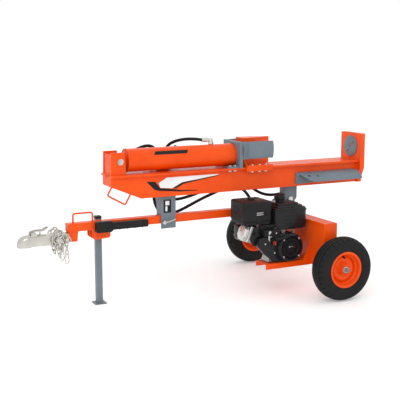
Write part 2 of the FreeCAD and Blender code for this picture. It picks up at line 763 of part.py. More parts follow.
def make_fuel_tank():
    lower = box(fuel_front, fuel_rear, fuel_near, fuel_far, tank_floor, fuel_seam)
    lower = rounded(lower, 45, upright)
    seam = box(fuel_front - 5, fuel_rear + 5, fuel_near - 5, fuel_far + 5, fuel_seam - 8, fuel_seam)
    seam = rounded(seam, 49, upright)
    upper = box(fuel_front + 6, fuel_rear - 6, fuel_near + 6, fuel_far - 6, fuel_seam, fuel_roof)
    upper = rounded(upper, 40, upright)
    upper = rounded(upper, 22, at_height(fuel_roof))
    neck = rod_z(fuel_cap_x, fuel_cap_y, fuel_roof - 4, fuel_roof + 16, 24)
    hollow = box(fuel_front + 24, fuel_rear - 24, fuel_near + 24, fuel_far - 24, tank_floor + 5, fuel_roof - 6)
    mouth = rod_z(fuel_cap_x, fuel_cap_y, fuel_roof - 10, fuel_roof + 16, 20)
    return lower.fuse([seam, upper, neck]).cut([hollow, mouth]).removeSplitter()


def make_fuel_cap():
    seat = fuel_roof + 16 + side_gap
    dome = rod_z(fuel_cap_x, fuel_cap_y, seat, seat + 26, 34)
    dome = rounded(dome, 7, at_height(seat + 26))
    skirt = rod_z(fuel_cap_x, fuel_cap_y, seat - 10, seat, 30)
    skirt = skirt.cut(rod_z(fuel_cap_x, fuel_cap_y, seat - 10, seat, 24 + side_gap))
    plug = rod_z(fuel_cap_x, fuel_cap_y, seat - 12, seat, 20 - side_gap)
    bar = box(fuel_cap_x - 24, fuel_cap_x + 24, fuel_cap_y - 6, fuel_cap_y + 6, seat + 26, seat + 33)
    return dome.fuse([skirt, plug, bar]).removeSplitter()


shroud_near, shroud_far = -350.0, case_near
shroud_radius = 95.0


def shroud_form(grow, y0, y1):
    """The round fan case with the duct that leads its air to the cylinder's fins."""
    case = rod_y(crank_x, y0, y1, crank_z, shroud_radius + grow)
    duct = plate_xz([(crank_x - 20, crank_z + 92 + grow), (crank_x - 150, crank_z + 92 + grow),
                     (crank_x - 196 - grow, crank_z + 60), (crank_x - 196 - grow, crank_z + 12),
                     (crank_x - 60, crank_z - 76 - grow)], y0, y1)
    return case.fuse(duct).removeSplitter()


def make_blower_housing():
    outer = shroud_form(0, shroud_near + 10, shroud_far)
    starter = Part.makeCone(74, 92, 10, V(crank_x, shroud_near, crank_z), V(0, 1, 0))
    hollow = shroud_form(-4, shroud_near + 14, shroud_far + 1)
    inner = rod_y(crank_x, shroud_near + 4, shroud_near + 14, crank_z, 70)
    slots = []
    for i in range(14):
        angle = 360 / 14 * i
        slot = box(crank_x + 40, crank_x + 64, shroud_near - 1, shroud_near + 5, crank_z - 3, crank_z + 3)
        slot.rotate(V(crank_x, 0, crank_z), V(0, 1, 0), angle)
        slots.append(slot)
    rope_guide = box(rope_x - 14, rope_x + 14, shroud_near + 2, shroud_near + 10, rope_z - 12, rope_z + 12)
    rope_hole = rod_y(rope_x, shroud_near, shroud_near + 20, rope_z, 4)
    switch_base = box(switch_x - 14, switch_x + 14, shroud_near + 2, shroud_near + 10, switch_z - 16, switch_z + 16)
    lever_hole = rod_y(throttle_x, shroud_near, shroud_near + 20, throttle_z, 4)
    switch_hole = rod_y(switch_x, shroud_near, shroud_near + 20, switch_z, 6)
    body = outer.fuse([starter, rope_guide, switch_base])
    return body.cut([hollow, inner, rope_hole, lever_hole, switch_hole] + slots).removeSplitter()


rope_x, rope_z = crank_x - 96, crank_z + 70
switch_x, switch_z = crank_x - 130, crank_z + 44
throttle_x, throttle_z = crank_x - 166, crank_z + 72


def make_recoil_handle():
    """The pull grip, and the stretch of rope behind it."""
    face = shroud_near + 2 - side_gap
    grip = box(rope_x - 34, rope_x + 34, face - 22, face, rope_z - 9, rope_z + 9)
    grip = rounded(grip, 6, along_x)
    rope = rod_y(rope_x, face, face + 24, rope_z, 2.5)
    return grip.fuse(rope).removeSplitter()


def make_throttle():
    face = shroud_near + 10 - side_gap
    stub = rod_y(throttle_x, face - 4, face + 10, throttle_z, 4 - run_gap)
    arm = box(throttle_x - 5, throttle_x + 5, face - 4, face, throttle_z - 5, throttle_z + 44)
    knob = rod_y(throttle_x, face - 14, face, throttle_z + 44, 9)
    return arm.fuse([stub, knob]).removeSplitter()


def make_switch():
    face = shroud_near + 2 - side_gap
    stem = rod_y(switch_x, face - 2, face + 12, switch_z, 6 - run_gap)
    rocker = box(switch_x - 5, switch_x + 5, face - 14, face - 2, switch_z - 12, switch_z + 12)
    disc = rod_y(switch_x, face - 4, face, switch_z, 11)
    return disc.fuse([rocker, stem]).removeSplitter()


def make_crankshaft():
    """Crankshaft with its flywheel, fan blades and the half coupling that drives the pump."""
    shaft = rod_y(crank_x, shroud_near + 18, pump_face_y - 22, crank_z, crank_radius)
    wheel = rod_y(crank_x, case_near - 30, case_near - 6, crank_z, 80)
    cup = rod_y(crank_x, shroud_near + 18, case_near - 30, crank_z, 34)
    blades = []
    for i in range(12):
        blade = box(crank_x + 44, crank_x + 78, case_near - 38, case_near - 30, crank_z - 2, crank_z + 2)
        blade.rotate(V(crank_x, 0, crank_z), V(0, 1, 0), 30 * i)
        blades.append(blade)
    cheeks = [rod_y(crank_x, y, y + 14, crank_z, 40) for y in (engine_y - 30, engine_y + 16)]
    coupling = rod_y(crank_x, case_far + 24, pump_face_y - 22, crank_z, 27)
    return shaft.fuse([wheel, cup, coupling] + blades + cheeks).removeSplitter()


def make_muffler():
    x0, x1, y0, y1, z0, z1 = -520.0, -384.0, engine_y + 62, engine_y + 150, 352.0, 456.0
    can = rounded(box(x0, x1, y0, y1, z0, z1), 22, across_y)
    inlet = rod_y(-470, engine_y + 50, y0 + 1, 402, 12)
    tail = rod_y(-494, y1 - 1, y1 + 22, 374, 12)
    tail_hole = rod_y(-494, y1 - 10, y1 + 22, 374, 9)
    guard = box(x0 + 10, x1 - 10, y1, y1 + 6, z0 + 40, z1 - 10)
    return can.fuse([inlet, tail, guard]).cut(tail_hole).removeSplitter()


def make_carburetor():
    body = box(-396, -350, -252, -206, 438, cleaner_floor)
    body = rounded(body, 6, upright)
    bowl = rod_z(-373, -190, 430, 456, 15)
    neck = rod_y(-373, -210, -190, 450, 8)
    return body.fuse([bowl, neck]).removeSplitter()


def make_spark_plug():
    x, near = crank_x - 262, engine_y - 50
    hexagon = hexagon_y(x, near - 8, near, crank_z + 12, 20)
    core = rod_y(x, near - 26, near - 8, crank_z + 12, 6)
    boot = rod_y(x, near - 38, near - 14, crank_z + 12, 10)
    return tilted(hexagon.fuse([core, boot]).removeSplitter())


def make_pump_adapter():
    y0, y1 = case_far + 10, pump_face_y
    outer = rod_y(crank_x, y0, y1, crank_z, 58)
    hollow = rod_y(crank_x, y0, y1 - 8, crank_z, 48)
    seat = rod_y(crank_x, y1 - 8, y1, crank_z, 16)
    flange = rod_y(crank_x, y0, y0 + 8, crank_z, 70).cut(rod_y(crank_x, y0, y0 + 8, crank_z, 48))
    window = box(crank_x - 24, crank_x + 24, y0 + 22, y1 - 22, crank_z + 30, crank_z + 70)
    return outer.cut([hollow, seat]).fuse(flange).cut(window).removeSplitter()


pump_rear_y = 48.0
pump_half = 44.0


def make_pump():
    body = box(crank_x - pump_half, crank_x + pump_half, pump_face_y + 12, pump_rear_y, crank_z - 50, crank_z + 50)
    body = rounded(body, 12, across_y)
    flange = rod_y(crank_x, pump_face_y, pump_face_y + 12, crank_z, 54)
    nose = rod_y(crank_x, pump_face_y - 20, pump_face_y, crank_z, 16 - run_gap)
    joint = box(crank_x - pump_half - 2, crank_x + pump_half + 2, -6, 2, crank_z - 52, crank_z + 52)
    inlet = rod_x(crank_x + pump_half - 2, crank_x + pump_half + 18, pump_inlet_y, crank_z, suction_radius + 3)
    outlet = rod_y(crank_x, pump_rear_y - 2, pressure_y, crank_z + 12, 12)
    elbow = rod_z(crank_x, pressure_y, crank_z - 2, crank_z + 40, 12)
    return body.fuse([flange, nose, joint, inlet, outlet, elbow]).removeSplitter()


pump_inlet_y = 6.0
pressure_y = 84.0


def make_filter():
    bottom = tank_top + 8
    head = rod_z(filter_x, filter_y, bottom, bottom + 42, 28)
    port = rod_z(filter_x, filter_y, bottom + 42, bottom + filter_height, 12)
    can = rod_y(filter_x, filter_y + 36, filter_y + 122, bottom + 28, 24)
    neck = rod_y(filter_x, filter_y + 20, filter_y + 36, bottom + 28, 12)
    return head.fuse([port, neck, rounded(can, 4, lambda e: True)]).removeSplitter()


def make_suction_hose():
    start = tank_front - 14
    end = crank_x + pump_half + 18
    middle = (start + end) / 2
    return hose("suction_hose", [V(start, suction_y, suction_z), V(start - 22, suction_y, suction_z),
                                 V(middle, (suction_y + pump_inlet_y) / 2, (suction_z + crank_z) / 2 + 2),
                                 V(end + 22, pump_inlet_y, crank_z), V(end, pump_inlet_y, crank_z)],
                suction_radius)


def make_pressure_hose():
    """From the pump up behind the engine, along the beam, round its loop and up to the valve."""
    end = valve_floor - 14
    points = [V(crank_x, pressure_y, crank_z + 40), V(crank_x, pressure_y, 392), V(-240, 86, 430),
              V(-250, 90, 478), V(-268, 98, 532), V(-296, 104, 590), V(-338, 106, 640), V(-396, 106, 668),
              V(-455, 104, 668), V(-515, 98, 652), V(-575, 92, 634), V(-640, 86, 614),
              V(-702, 80, 592), V(-762, 76, 568), V(-820, 74, 545), V(-876, 74, 528),
              V(-928, 76, 524), V(-972, 82, 542), V(-996, 92, 584), V(-1002, 106, 634),
              V(-998, 120, 688), V(-988, 130, 734), V(-968, 135, 772),
              V(valve_in_x, valve_y, end - 28), V(valve_in_x, valve_y, end)]
    return hose("pressure_hose", points, hose_radius)


def make_return_hose():
    """From the valve down and along under the beam's far edge, and down to the filter on the tank."""
    start = valve_floor - 14
    port = tank_top + 8 + filter_height
    points = [V(valve_out_x, valve_y, start), V(valve_out_x, valve_y, start - 28), V(-917, 133, 762),
              V(-926, 124, 720), V(-935, 112, 678), V(-932, 100, 642), V(-904, 88, 620), V(-856, 82, 614),
              V(-800, 82, 620), V(-742, 84, 632), V(-684, 90, 646), V(-624, 98, 660),
              V(-564, 106, 676), V(-504, 112, 690), V(-444, 116, 700), V(-384, 118, 698),
              V(-326, 118, 682), V(-276, 116, 652), V(-230, 112, 620), V(-184, 106, 598),
              V(-136, 100, 588), V(-92, 95, 588), V(-54, 91, port + 48), V(-32, filter_y, port + 34),
              V(filter_x, filter_y, port + 17), V(filter_x, filter_y, port)]
    return hose("return_hose", points, hose_radius)


# ---- beam ----
bracket_inner = half_tongue + 5 + side_gap
bracket_outer = bracket_inner + bracket_thick
ear_top = 957.0
ear_rear = -1258.0


def make_beam():
    flange = box(beam_front, beam_rear, -flange_half, flange_half, flange_bottom, beam_top)
    tab = box(beam_front - 14, beam_front, -14, 14, flange_bottom, beam_top - 4)
    outline = [(beam_front, flange_bottom), (beam_front, beam_bottom + slope_rise),
               (beam_front + slope_run, beam_bottom), (beam_rear, beam_bottom), (beam_rear, flange_bottom)]
    side = plate_xz(outline, -side_outer, -side_inner)
    ear = plate_xz([(beam_front + 2, beam_top), (ear_rear, beam_top), (ear_rear - 8, ear_top),
                    (beam_front + 5, ear_top)], -side_outer, -side_inner)
    back = box(beam_front + 8, beam_front + 14, -side_inner, side_inner, beam_top, ear_top - 12)
    floor = box(beam_front + slope_run, beam_rear, -side_inner, side_inner, beam_bottom, beam_bottom + side_thick)
    end = box(beam_front, beam_front + side_thick, -side_inner, side_inner, beam_bottom + slope_rise, flange_bottom)
    rib = box(-700, -700 + side_thick, -side_inner, side_inner, beam_bottom + side_thick, flange_bottom)
    body = flange.fuse([tab, side, mirrored(side), ear, mirrored(ear), back, floor, end, rib])
    pin_hole = rod_y(cylinder_pin_x, -side_outer - 1, side_outer + 1, cylinder_z, cylinder_pin_radius)
    return body.cut([pin_hole] + stripper_bolt_holes() + cradle_bolt_holes()).removeSplitter()


stripper_bolt_xs = (-548.0, -512.0)
stripper_bolt_y = 84.0
stripper_bolt_radius = 6.0
cradle_bolt_xs = (-18.0, 10.0)
cradle_bolt_z = 745.0
cradle_bolt_radius = 5.0


def stripper_bolt_holes():
    return [rod_z(x, side * stripper_bolt_y, flange_bottom - 5, beam_top + 30, stripper_bolt_radius)
            for x in stripper_bolt_xs for side in (-1, 1)]


def cradle_bolt_holes():
    return [rod_y(x, -side_outer - 8, side_outer + 8, cradle_bolt_z, cradle_bolt_radius) for x in cradle_bolt_xs]


web_flare_z = 596.0
web_flare_half = 66.0


def make_beam_brackets():
    """The hinge cheeks at the log end, and the saddle that sits over the tongue."""
    cheek = plate_xz([(pivot_x - 41, beam_bottom), (pivot_x - 41, pivot_z + 10), (pivot_x - 26, pivot_z - 24),
                      (pivot_x + 30, pivot_z - 24), (pivot_x + 51, pivot_z + 10), (pivot_x + 51, beam_bottom)],
                     -bracket_outer, -bracket_inner)
    web = box(pivot_x - 41, pivot_x - 35, -bracket_inner, bracket_inner, pivot_z + 36, beam_bottom)
    foot = box(pivot_x - 41, pivot_x + 51, -bracket_inner, bracket_inner, beam_bottom - 6, beam_bottom)
    pivot_hole = rod_y(pivot_x, -bracket_outer - 1, bracket_outer + 1, pivot_z, pivot_radius)
    hinge = cheek.fuse([mirrored(cheek), web, foot]).cut(pivot_hole).removeSplitter()
    x0, x1 = lock_x - 13, lock_x + 88
    near = box(x0, x1, -bracket_outer, -bracket_inner, 456, beam_bottom)
    far = box(x0, x1, bracket_inner, bracket_outer, 492, beam_bottom)
    rest = box(x0, x1, -bracket_inner, bracket_inner, tongue_top, tongue_top + 6)
    top = box(x0, x1, -bracket_inner, bracket_inner, beam_bottom - 6, beam_bottom)
    lock_hole = rod_y(lock_x, -bracket_outer - 1, -bracket_inner + 1, lock_z, lock_radius + run_gap)
    front_web = plate_yz([(-bracket_inner, tongue_top + 6), (bracket_outer, tongue_top + 6), (bracket_outer, web_flare_z),
                          (web_flare_half, beam_bottom), (-bracket_inner, beam_bottom)], x0, x0 + 6)
    saddle = near.fuse([far, rest, top, front_web]).cut(lock_hole).removeSplitter()
    return [hinge, saddle]


def make_hinge_pins():
    pivot = rod_y(pivot_x, -bracket_outer - 8, bracket_outer + 8, pivot_z, pivot_radius)
    pivot_head = rod_y(pivot_x, -bracket_outer - 8, -bracket_outer, pivot_z, pivot_radius + 5)
    pin = rod_y(cylinder_pin_x, -side_outer - 16, side_outer + 16, cylinder_z, cylinder_pin_radius)
    pin_head = rod_y(cylinder_pin_x, -side_outer - 5, -side_outer, cylinder_z, cylinder_pin_radius + 7)
    pin_tail = rod_y(cylinder_pin_x, side_outer, side_outer + 5, cylinder_z, cylinder_pin_radius + 7)
    return [pivot.fuse(pivot_head).removeSplitter(), pin.fuse([pin_head, pin_tail]).removeSplitter()]


def make_lock_pin():
    """Plunger drawn clear of the tongue; pushed in it locks the beam down."""
    tip = -half_tongue - side_gap
    near = -bracket_outer - lock_travel - 10
    pin = rod_y(lock_x, near, tip, lock_z, lock_radius)
    collar = rod_y(lock_x, near, near + 6, lock_z, lock_radius + 4)
    lever = bail([V(lock_x, near + 3, lock_z), V(lock_x + 30, near + 3, lock_z + 4),
                  V(lock_x + 76, near + 3, lock_z + 16)], 4.5, 20)
    return pin.fuse([collar, lever]).removeSplitter()


def make_beam_handle():
    y = -(side_outer + side_inner) / 2
    slope = slope_rise / slope_run
    x0, x1 = beam_front + 8, beam_front + 129
    z0 = beam_bottom + slope_rise - (x0 - beam_front) * slope
    z1 = beam_bottom + slope_rise - (x1 - beam_front) * slope
    rod = bail([V(x0, y, z0 + 4), V(x0 - 30, y, z0 - 46), V(x1 - 36, y, z1 - 60), V(x1, y, z1 + 4)], 5.5, 12)
    return rod.cut(make_side_solid()).removeSplitter()


def make_side_solid():
    outline = [(beam_front, flange_bottom), (beam_front, beam_bottom + slope_rise),
               (beam_front + slope_run, beam_bottom), (beam_rear, beam_bottom), (beam_rear, flange_bottom)]
    return plate_xz(outline, -side_outer - 20, -side_inner + 20)


def make_foot_plate():
    half = foot_plate_half
    outline = [(-half, foot_plate_top), (half, foot_plate_top), (half, 765), (half - 28, 700),
               (half - 32, beam_bottom - 2), (-half + 32, beam_bottom - 2), (-half + 28, 700), (-half, 765)]
    plate = plate_yz(outline, beam_rear, foot_back)
    return rounded(plate, 7, lambda e: abs(e.Vertexes[0].Point.x - e.Vertexes[-1].Point.x) > 20
                   and e.Vertexes[0].Point.z > foot_plate_top - 1)


def make_foot_disc():
    disc = rod_x(beam_rear - foot_disc_thick, beam_rear, 0, foot_disc_z, foot_disc_radius)
    disc = rounded(disc, 2, lambda e: e.Vertexes[0].Point.x < beam_rear - 1)
    cuts = []
    for i in range(4):
        rib = box(beam_rear - foot_disc_thick - 1, beam_rear - foot_disc_thick + 2, -2.5, 2.5,
                  foot_disc_z + 20, foot_disc_z + foot_disc_radius - 10)
        rib.rotate(V(0, 0, foot_disc_z), V(1, 0, 0), 45 + 90 * i)
        cuts.append(rib)
    centre = rod_x(beam_rear - foot_disc_thick - 1, beam_rear - 3, 0, foot_disc_z, 9)
    return disc.cut(cuts + [centre])


def make_barrel():
    tube = rod_x(barrel_front, barrel_rear, 0, cylinder_z, barrel_radius)
    tube = rounded(tube, 6, lambda e: e.Vertexes[0].Point.x < barrel_front + 1)
    bore = rod_x(barrel_front + 38, barrel_rear + 1, 0, cylinder_z, bore_radius)
    gland = rod_x(barrel_rear - 30, barrel_rear, 0, cylinder_z, bore_radius)
    gland = gland.cut(rod_x(barrel_rear - 31, barrel_rear + 1, 0, cylinder_z, rod_radius + run_gap))
    lug = box(cylinder_pin_x, barrel_front + 2, -30, 30, cylinder_z - 32, cylinder_z + 32)
    eye = rod_y(cylinder_pin_x, -side_inner + 1, side_inner - 1, cylinder_z, 32)
    lug_hole = rod_y(cylinder_pin_x, -side_inner, side_inner, cylinder_z, cylinder_pin_radius)
    rod_port = rod_z(port_x, 0, cylinder_z + barrel_radius - 4, port_z, 14)
    base_port = rod_y(base_port_x, barrel_radius - 6, base_port_y, cylinder_z + 14, 14)
    ports = [rod_z(port_x, 0, cylinder_z, port_z - 6, 6),
             rod_y(base_port_x, 0, base_port_y - 6, cylinder_z + 14, 6)]
    body = tube.cut(bore).fuse([gland, lug, eye, rod_port, base_port]).cut([lug_hole] + ports)
    return body.removeSplitter()


port_x = -645.0
port_z = 984.0
base_port_x = -1185.0
base_port_y = 86.0
valve_x0, valve_x1 = -1010.0, -865.0
valve_y = 136.0
valve_floor, valve_roof = 838.0, 900.0
valve_in_x, valve_out_x = -952.0, -914.0


def make_valve():
    body = box(valve_x0, valve_x1, valve_y - 26, valve_y + 26, valve_floor, valve_roof)
    body = rounded(body, 6, along_x)
    spool = rod_x(valve_x1, valve_x1 + 26, valve_y, cylinder_z - 32, 15)
    spring_case = rod_x(valve_x0 - 46, valve_x0, valve_y, cylinder_z - 32, 20)
    fork = box(valve_x1 + 26, valve_x1 + 48, valve_y - 12, valve_y + 12, cylinder_z - 44, cylinder_z - 20)
    fork = fork.cut(box(valve_x1 + 26, valve_x1 + 49, valve_y - 5, valve_y + 5, cylinder_z - 46, cylinder_z - 18))
    neck = box(valve_x1 + 20, valve_x1 + 28, valve_y - 12, valve_y + 12, cylinder_z - 44, cylinder_z - 20)
    pin_hole = rod_y(lever_x, valve_y - 13, valve_y + 13, lever_z, 4)
    bracket = box(valve_x0 + 30, valve_x1 - 30, side_outer + 2, valve_y - 20, beam_top, beam_top + 6)
    stand = box(valve_x0 + 30, valve_x1 - 30, valve_y - 32, valve_y - 26, beam_top, valve_roof - 12)
    shelf = box(valve_x0 + 30, valve_x1 - 30, valve_y - 32, valve_y - 20, beam_top, beam_top + 6)
    fittings = [rod_z(x, valve_y, valve_floor - 14, valve_floor, 12) for x in (valve_in_x, valve_out_x)]
    relief = rod_y(valve_x0 + 24, valve_y + 26, valve_y + 40, cylinder_z - 30, 11)
    work = [rod_z(x, valve_y, valve_roof, valve_roof + 14, 11) for x in work_xs]
    body = body.fuse([spool, spring_case, fork, neck, bracket, stand, shelf, relief] + fittings + work)
    return body.cut(pin_hole).removeSplitter()


work_xs = (-975.0, -900.0)
lever_x = valve_x1 + 38
lever_z = cylinder_z - 32
lever_height = 74.0


def make_valve_lever():
    eye = rod_y(lever_x, valve_y - 5 + side_gap, valve_y + 5 - side_gap, lever_z, 8)
    pin = rod_y(lever_x, valve_y - 14, valve_y + 14, lever_z, 4 - run_gap)
    stalk = Part.makeCylinder(3.5, lever_height, V(lever_x, valve_y, lever_z + 6), V(0, 0.2, 1))
    top = V(lever_x, valve_y, lever_z + 6) + V(0, 0.2, 1).normalize() * lever_height
    knob = Part.makeSphere(15, top)
    return eye.fuse([pin, stalk, knob]).removeSplitter()


def make_cylinder_hoses():
    """The hose over the cylinder to its rod end, and the one to its base."""
    top = valve_roof + 14
    over = [V(work_xs[1], valve_y, top), V(work_xs[1], valve_y, top + 24), V(-893, 125, 964),
            V(-872, 101, 986), V(-838, 70, 1002), V(-794, 40, 1010), V(-744, 14, 1009),
            V(port_x - 55, 0, port_z + 18), V(port_x - 24, 0, port_z + 18)]
    rod_hose = hose("rod_end_hose", over, hose_radius)
    elbow = rod_z(port_x, 0, port_z, port_z + 30, 13)
    arm = rod_x(port_x - 24, port_x, 0, port_z + 18, 12)
    port = cylinder_z + 14
    base = [V(work_xs[0], valve_y, top), V(work_xs[0], valve_y, top + 22), V(-987, 137, 957),
            V(-1016, 139, 968), V(-1052, 140, 966), V(-1088, 138, 955), V(-1122, 135, port + 28),
            V(-1156, 131, port + 12), V(-1178, 119, port + 2), V(base_port_x, 102, port),
            V(base_port_x, base_port_y, port)]
    return [rod_hose.fuse([elbow, arm]).removeSplitter(), hose("base_end_hose", base, hose_radius)]


arm_low, arm_high = 876.0, 988.0


def make_stripper():
    half = 112.0
    frame = box(-490, -466, -half, half, beam_top, arm_high)
    frame = frame.cut(rod_x(-495, -460, 0, cylinder_z, barrel_radius + 1))
    opening = box(-495, -460, -rod_radius - 30, rod_radius + 30, beam_top + 22, cylinder_z)
    frame = frame.cut(opening)
    feet = [box(-566, -490, side * 76 - 19, side * 76 + 19, beam_top, beam_top + 12) for side in (-1, 1)]
    bulge = 12.0
    middle = (arm_low + arm_high) / 2
    arms = []
    for side in (-1, 1):
        outer = Part.Arc(V(-466, side * half, arm_low), V(-466, side * (half + bulge), middle),
                         V(-466, side * half, arm_high)).toShape()
        inner = Part.Arc(V(-466, side * (half - 6), arm_high), V(-466, side * (half + bulge - 6), middle),
                         V(-466, side * (half - 6), arm_low)).toShape()
        top = Part.LineSegment(V(-466, side * half, arm_high), V(-466, side * (half - 6), arm_high)).toShape()
        low = Part.LineSegment(V(-466, side * (half - 6), arm_low), V(-466, side * half, arm_low)).toShape()
        arms.append(Part.Face(Part.Wire([outer, top, inner, low])).extrude(V(224, 0, 0)))
    body = frame.fuse(feet + arms).cut(stripper_bolt_holes())
    return body.removeSplitter()


def make_beam_bolts():
    bolts = []
    for x in stripper_bolt_xs:
        for side in (-1, 1):
            bolts.append(bolt_z(x, side * stripper_bolt_y, flange_bottom, beam_top + 12, stripper_bolt_radius))
    for x in cradle_bolt_xs:
        for side in (-1, 1):
            shank = rod_y(x, side_inner, side_outer + 6, cradle_bolt_z, cradle_bolt_radius)
            head = hexagon_y(x, side_outer + 6, side_outer + 12, cradle_bolt_z, 16)
            bolt = shank.fuse(head).removeSplitter()
            bolts.append(mirrored(bolt) if side < 0 else bolt)
    return bolts


cradle_front, cradle_rear = -37.0, 440.0
cradle_reach = 178.0
cradle_top = 760.0


def make_cradles():
    """A shelf on each side that catches the split halves, with its outer edge rolled down."""
    steel = 6.0
    x_full = cradle_front + 95
    edge_arc = [V(x_full, -cradle_reach + 34, cradle_top), V(x_full, -cradle_reach + 8, cradle_top - 12),
                V(x_full, -cradle_reach, cradle_top - 44)]
    inner_arc = [V(x_full, -cradle_reach + steel, cradle_top - 44), V(x_full, -cradle_reach + 13, cradle_top - 17),
                 V(x_full, -cradle_reach + 36, cradle_top - steel)]
    start_top, start_low = V(x_full, -side_outer, cradle_top), V(x_full, -side_outer, cradle_top - steel)
    section = Part.Wire([Part.LineSegment(start_top, edge_arc[0]).toShape(), Part.Arc(*edge_arc).toShape(),
                         Part.LineSegment(edge_arc[2], inner_arc[0]).toShape(), Part.Arc(*inner_arc).toShape(),
                         Part.LineSegment(inner_arc[2], start_low).toShape(),
                         Part.LineSegment(start_low, start_top).toShape()])
    shelf = Part.Face(section).extrude(V(cradle_rear - x_full, 0, 0))
    wing = plate_xy([(x_full, -side_outer), (x_full, -cradle_reach + 34), (cradle_front + 12, -side_outer - 24),
                     (cradle_front, -side_outer - 10), (cradle_front, -side_outer)], cradle_top - steel, cradle_top)
    web = box(cradle_front, cradle_rear, -side_outer - steel, -side_outer, beam_bottom + 14, cradle_top)
    holes = [rod_z(cradle_front + 84, -side_outer - 36, cradle_top - 10, cradle_top + 1, 7),
             rod_z(cradle_front + 134, -side_outer - 66, cradle_top - 10, cradle_top + 1, 7)]
    shape = shelf.fuse([wing, web]).cut(holes + cradle_bolt_holes()).removeSplitter()
    return both_sides(shape)


# ---- ram ----
def make_piston_rod():
    piston_front = barrel_front + 38 + 12
    piston = rod_x(piston_front, piston_front + piston_length, 0, cylinder_z, bore_radius - run_gap)
    groove = rod_x(piston_front + 20, piston_front + 28, 0, cylinder_z, bore_radius + 1)
    groove = groove.cut(rod_x(piston_front + 20, piston_front + 28, 0, cylinder_z, bore_radius - 4))
    rod = rod_x(piston_front, wedge_front + 55, 0, cylinder_z, rod_radius)
    hole = rod_y(wedge_front + 32, -60, 60, cylinder_z, 8)
    return piston.cut(groove).fuse(rod).cut(hole).removeSplitter()


def make_wedge():
    low = beam_top + slide_gap
    base_top = low + 13
    plan = [(wedge_front, -46), (wedge_front + 90, -46), (wedge_edge, -1.5), (wedge_edge, 1.5),
            (wedge_front + 90, 46), (wedge_front, 46)]
    blade = plate_xy(plan, base_top, wedge_top)
    base = box(wedge_front, shoe_rear, -shoe_half, shoe_half, low, base_top)
    ribs = [plate_yz([(side * 46, base_top), (side * 96, base_top), (side * 46, base_top + 46)],
                     wedge_front, wedge_front + 10) for side in (-1, 1)]
    socket = rod_x(wedge_front, wedge_front + 55, 0, cylinder_z, rod_radius)
    pin_hole = rod_y(wedge_front + 32, -60, 60, cylinder_z, 8)
    return blade.fuse([base] + ribs).cut([socket, pin_hole] + shoe_bolt_holes()).removeSplitter()


shoe_bolt_y = 103.5
shoe_bolt_radius = 5.0
shoe_bolt_xs = (wedge_front + 42, wedge_front + 96, wedge_front + 144)


def shoe_bolt_holes():
    return [rod_z(x, side * shoe_bolt_y, flange_bottom - 30, beam_top + 30, shoe_bolt_radius)
            for x in shoe_bolt_xs for side in (-1, 1)]


def make_gibs():
    """Each side's spacer and the shoe that runs under the flange."""
    top = beam_top + slide_gap
    low = flange_bottom - slide_gap
    spacer = box(wedge_front, shoe_rear, flange_half + slide_gap, shoe_half, low, top)
    shoe = box(wedge_front, shoe_rear, side_outer + 4, shoe_half, low - 12, low)
    gib = spacer.fuse(shoe).cut(shoe_bolt_holes()).removeSplitter()
    return both_sides(gib)


def make_wedge_bolts():
    bolts = []
    for x in shoe_bolt_xs:
        for side in (-1, 1):
            bolts.append(bolt_z(x, side * shoe_bolt_y, flange_bottom - slide_gap - 12,
                                beam_top + slide_gap + 13, shoe_bolt_radius))
    pin = rod_y(wedge_front + 32, -46, 46, cylinder_z, 8)
    return bolts + [pin]


os.makedirs("parts", exist_ok=True)

save("left_tyre", make_tyre(-track / 2))
save("right_tyre", make_tyre(track / 2))
save("left_rim", make_rim(-track / 2, -1))
save("right_rim", make_rim(track / 2, 1))
save("wheel_bearings", *make_bearings())
save("wheel_spindles", *make_spindles())
save("hydraulic_tank", make_tank())
save("tank_cap", make_tank_cap())
save("return_filter", make_filter())
save("engine_mount", make_engine_mount())
save("tongue", make_tongue())
save("tongue_handle", make_tongue_handle())
save("coupler_body", make_coupler())
save("coupler_latch", make_latch())
save("coupler_clamp", make_clamp())
save("near_chain", *make_chain(-1, coupler_bolt_xs[1]))
save("far_chain", *make_chain(1, coupler_bolt_xs[1]))
save("manual_holder", make_holder())
save("holder_cap", make_holder_cap())
save("jack_bracket", make_jack_bracket())
save("jack_leg", make_jack_leg())
save("jack_cap", make_jack_cap())
save("jack_pin", make_jack_pin())
save("frame_bolts", *make_frame_bolts())
save("engine_block", make_crankcase().fuse(make_engine_cylinder()).removeSplitter())
save("valve_cover", make_valve_cover())
save("air_cleaner", make_air_cleaner())
save("fuel_tank", make_fuel_tank())
save("fuel_cap", make_fuel_cap())
save("blower_housing", make_blower_housing())
save("recoil_handle", make_recoil_handle())
save("throttle_lever", make_throttle())
save("engine_switch", make_switch())
save("crankshaft", make_crankshaft())
save("muffler", make_muffler())
save("carburetor", make_carburetor())
save("spark_plug", make_spark_plug())
save("pump_adapter", make_pump_adapter())
save("hydraulic_pump", make_pump())
save("suction_hose", make_suction_hose())
save("pressure_hose", make_pressure_hose())
save("return_hose", make_return_hose())
save("beam", make_beam())
save("beam_brackets", *make_beam_brackets())
save("hinge_pins", *make_hinge_pins())
save("lock_pin", make_lock_pin())
save("beam_handle", make_beam_handle())
save("foot_plate", make_foot_plate())
save("foot_disc", make_foot_disc())
save("cylinder_barrel", make_barrel())
save("control_valve", make_valve())
save("valve_lever", make_valve_lever())
save("cylinder_hoses", *make_cylinder_hoses())
save("stripper", make_stripper())
save("beam_bolts", *make_beam_bolts())
save("log_cradles", *make_cradles())
save("piston_rod", make_piston_rod())
save("wedge", make_wedge())
save("wedge_gibs", *make_gibs())
save("wedge_bolts", *make_wedge_bolts())
print(len(parts_made), "parts")
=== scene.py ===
import json
import math

import bmesh
import bpy
from mathutils import Matrix, Vector


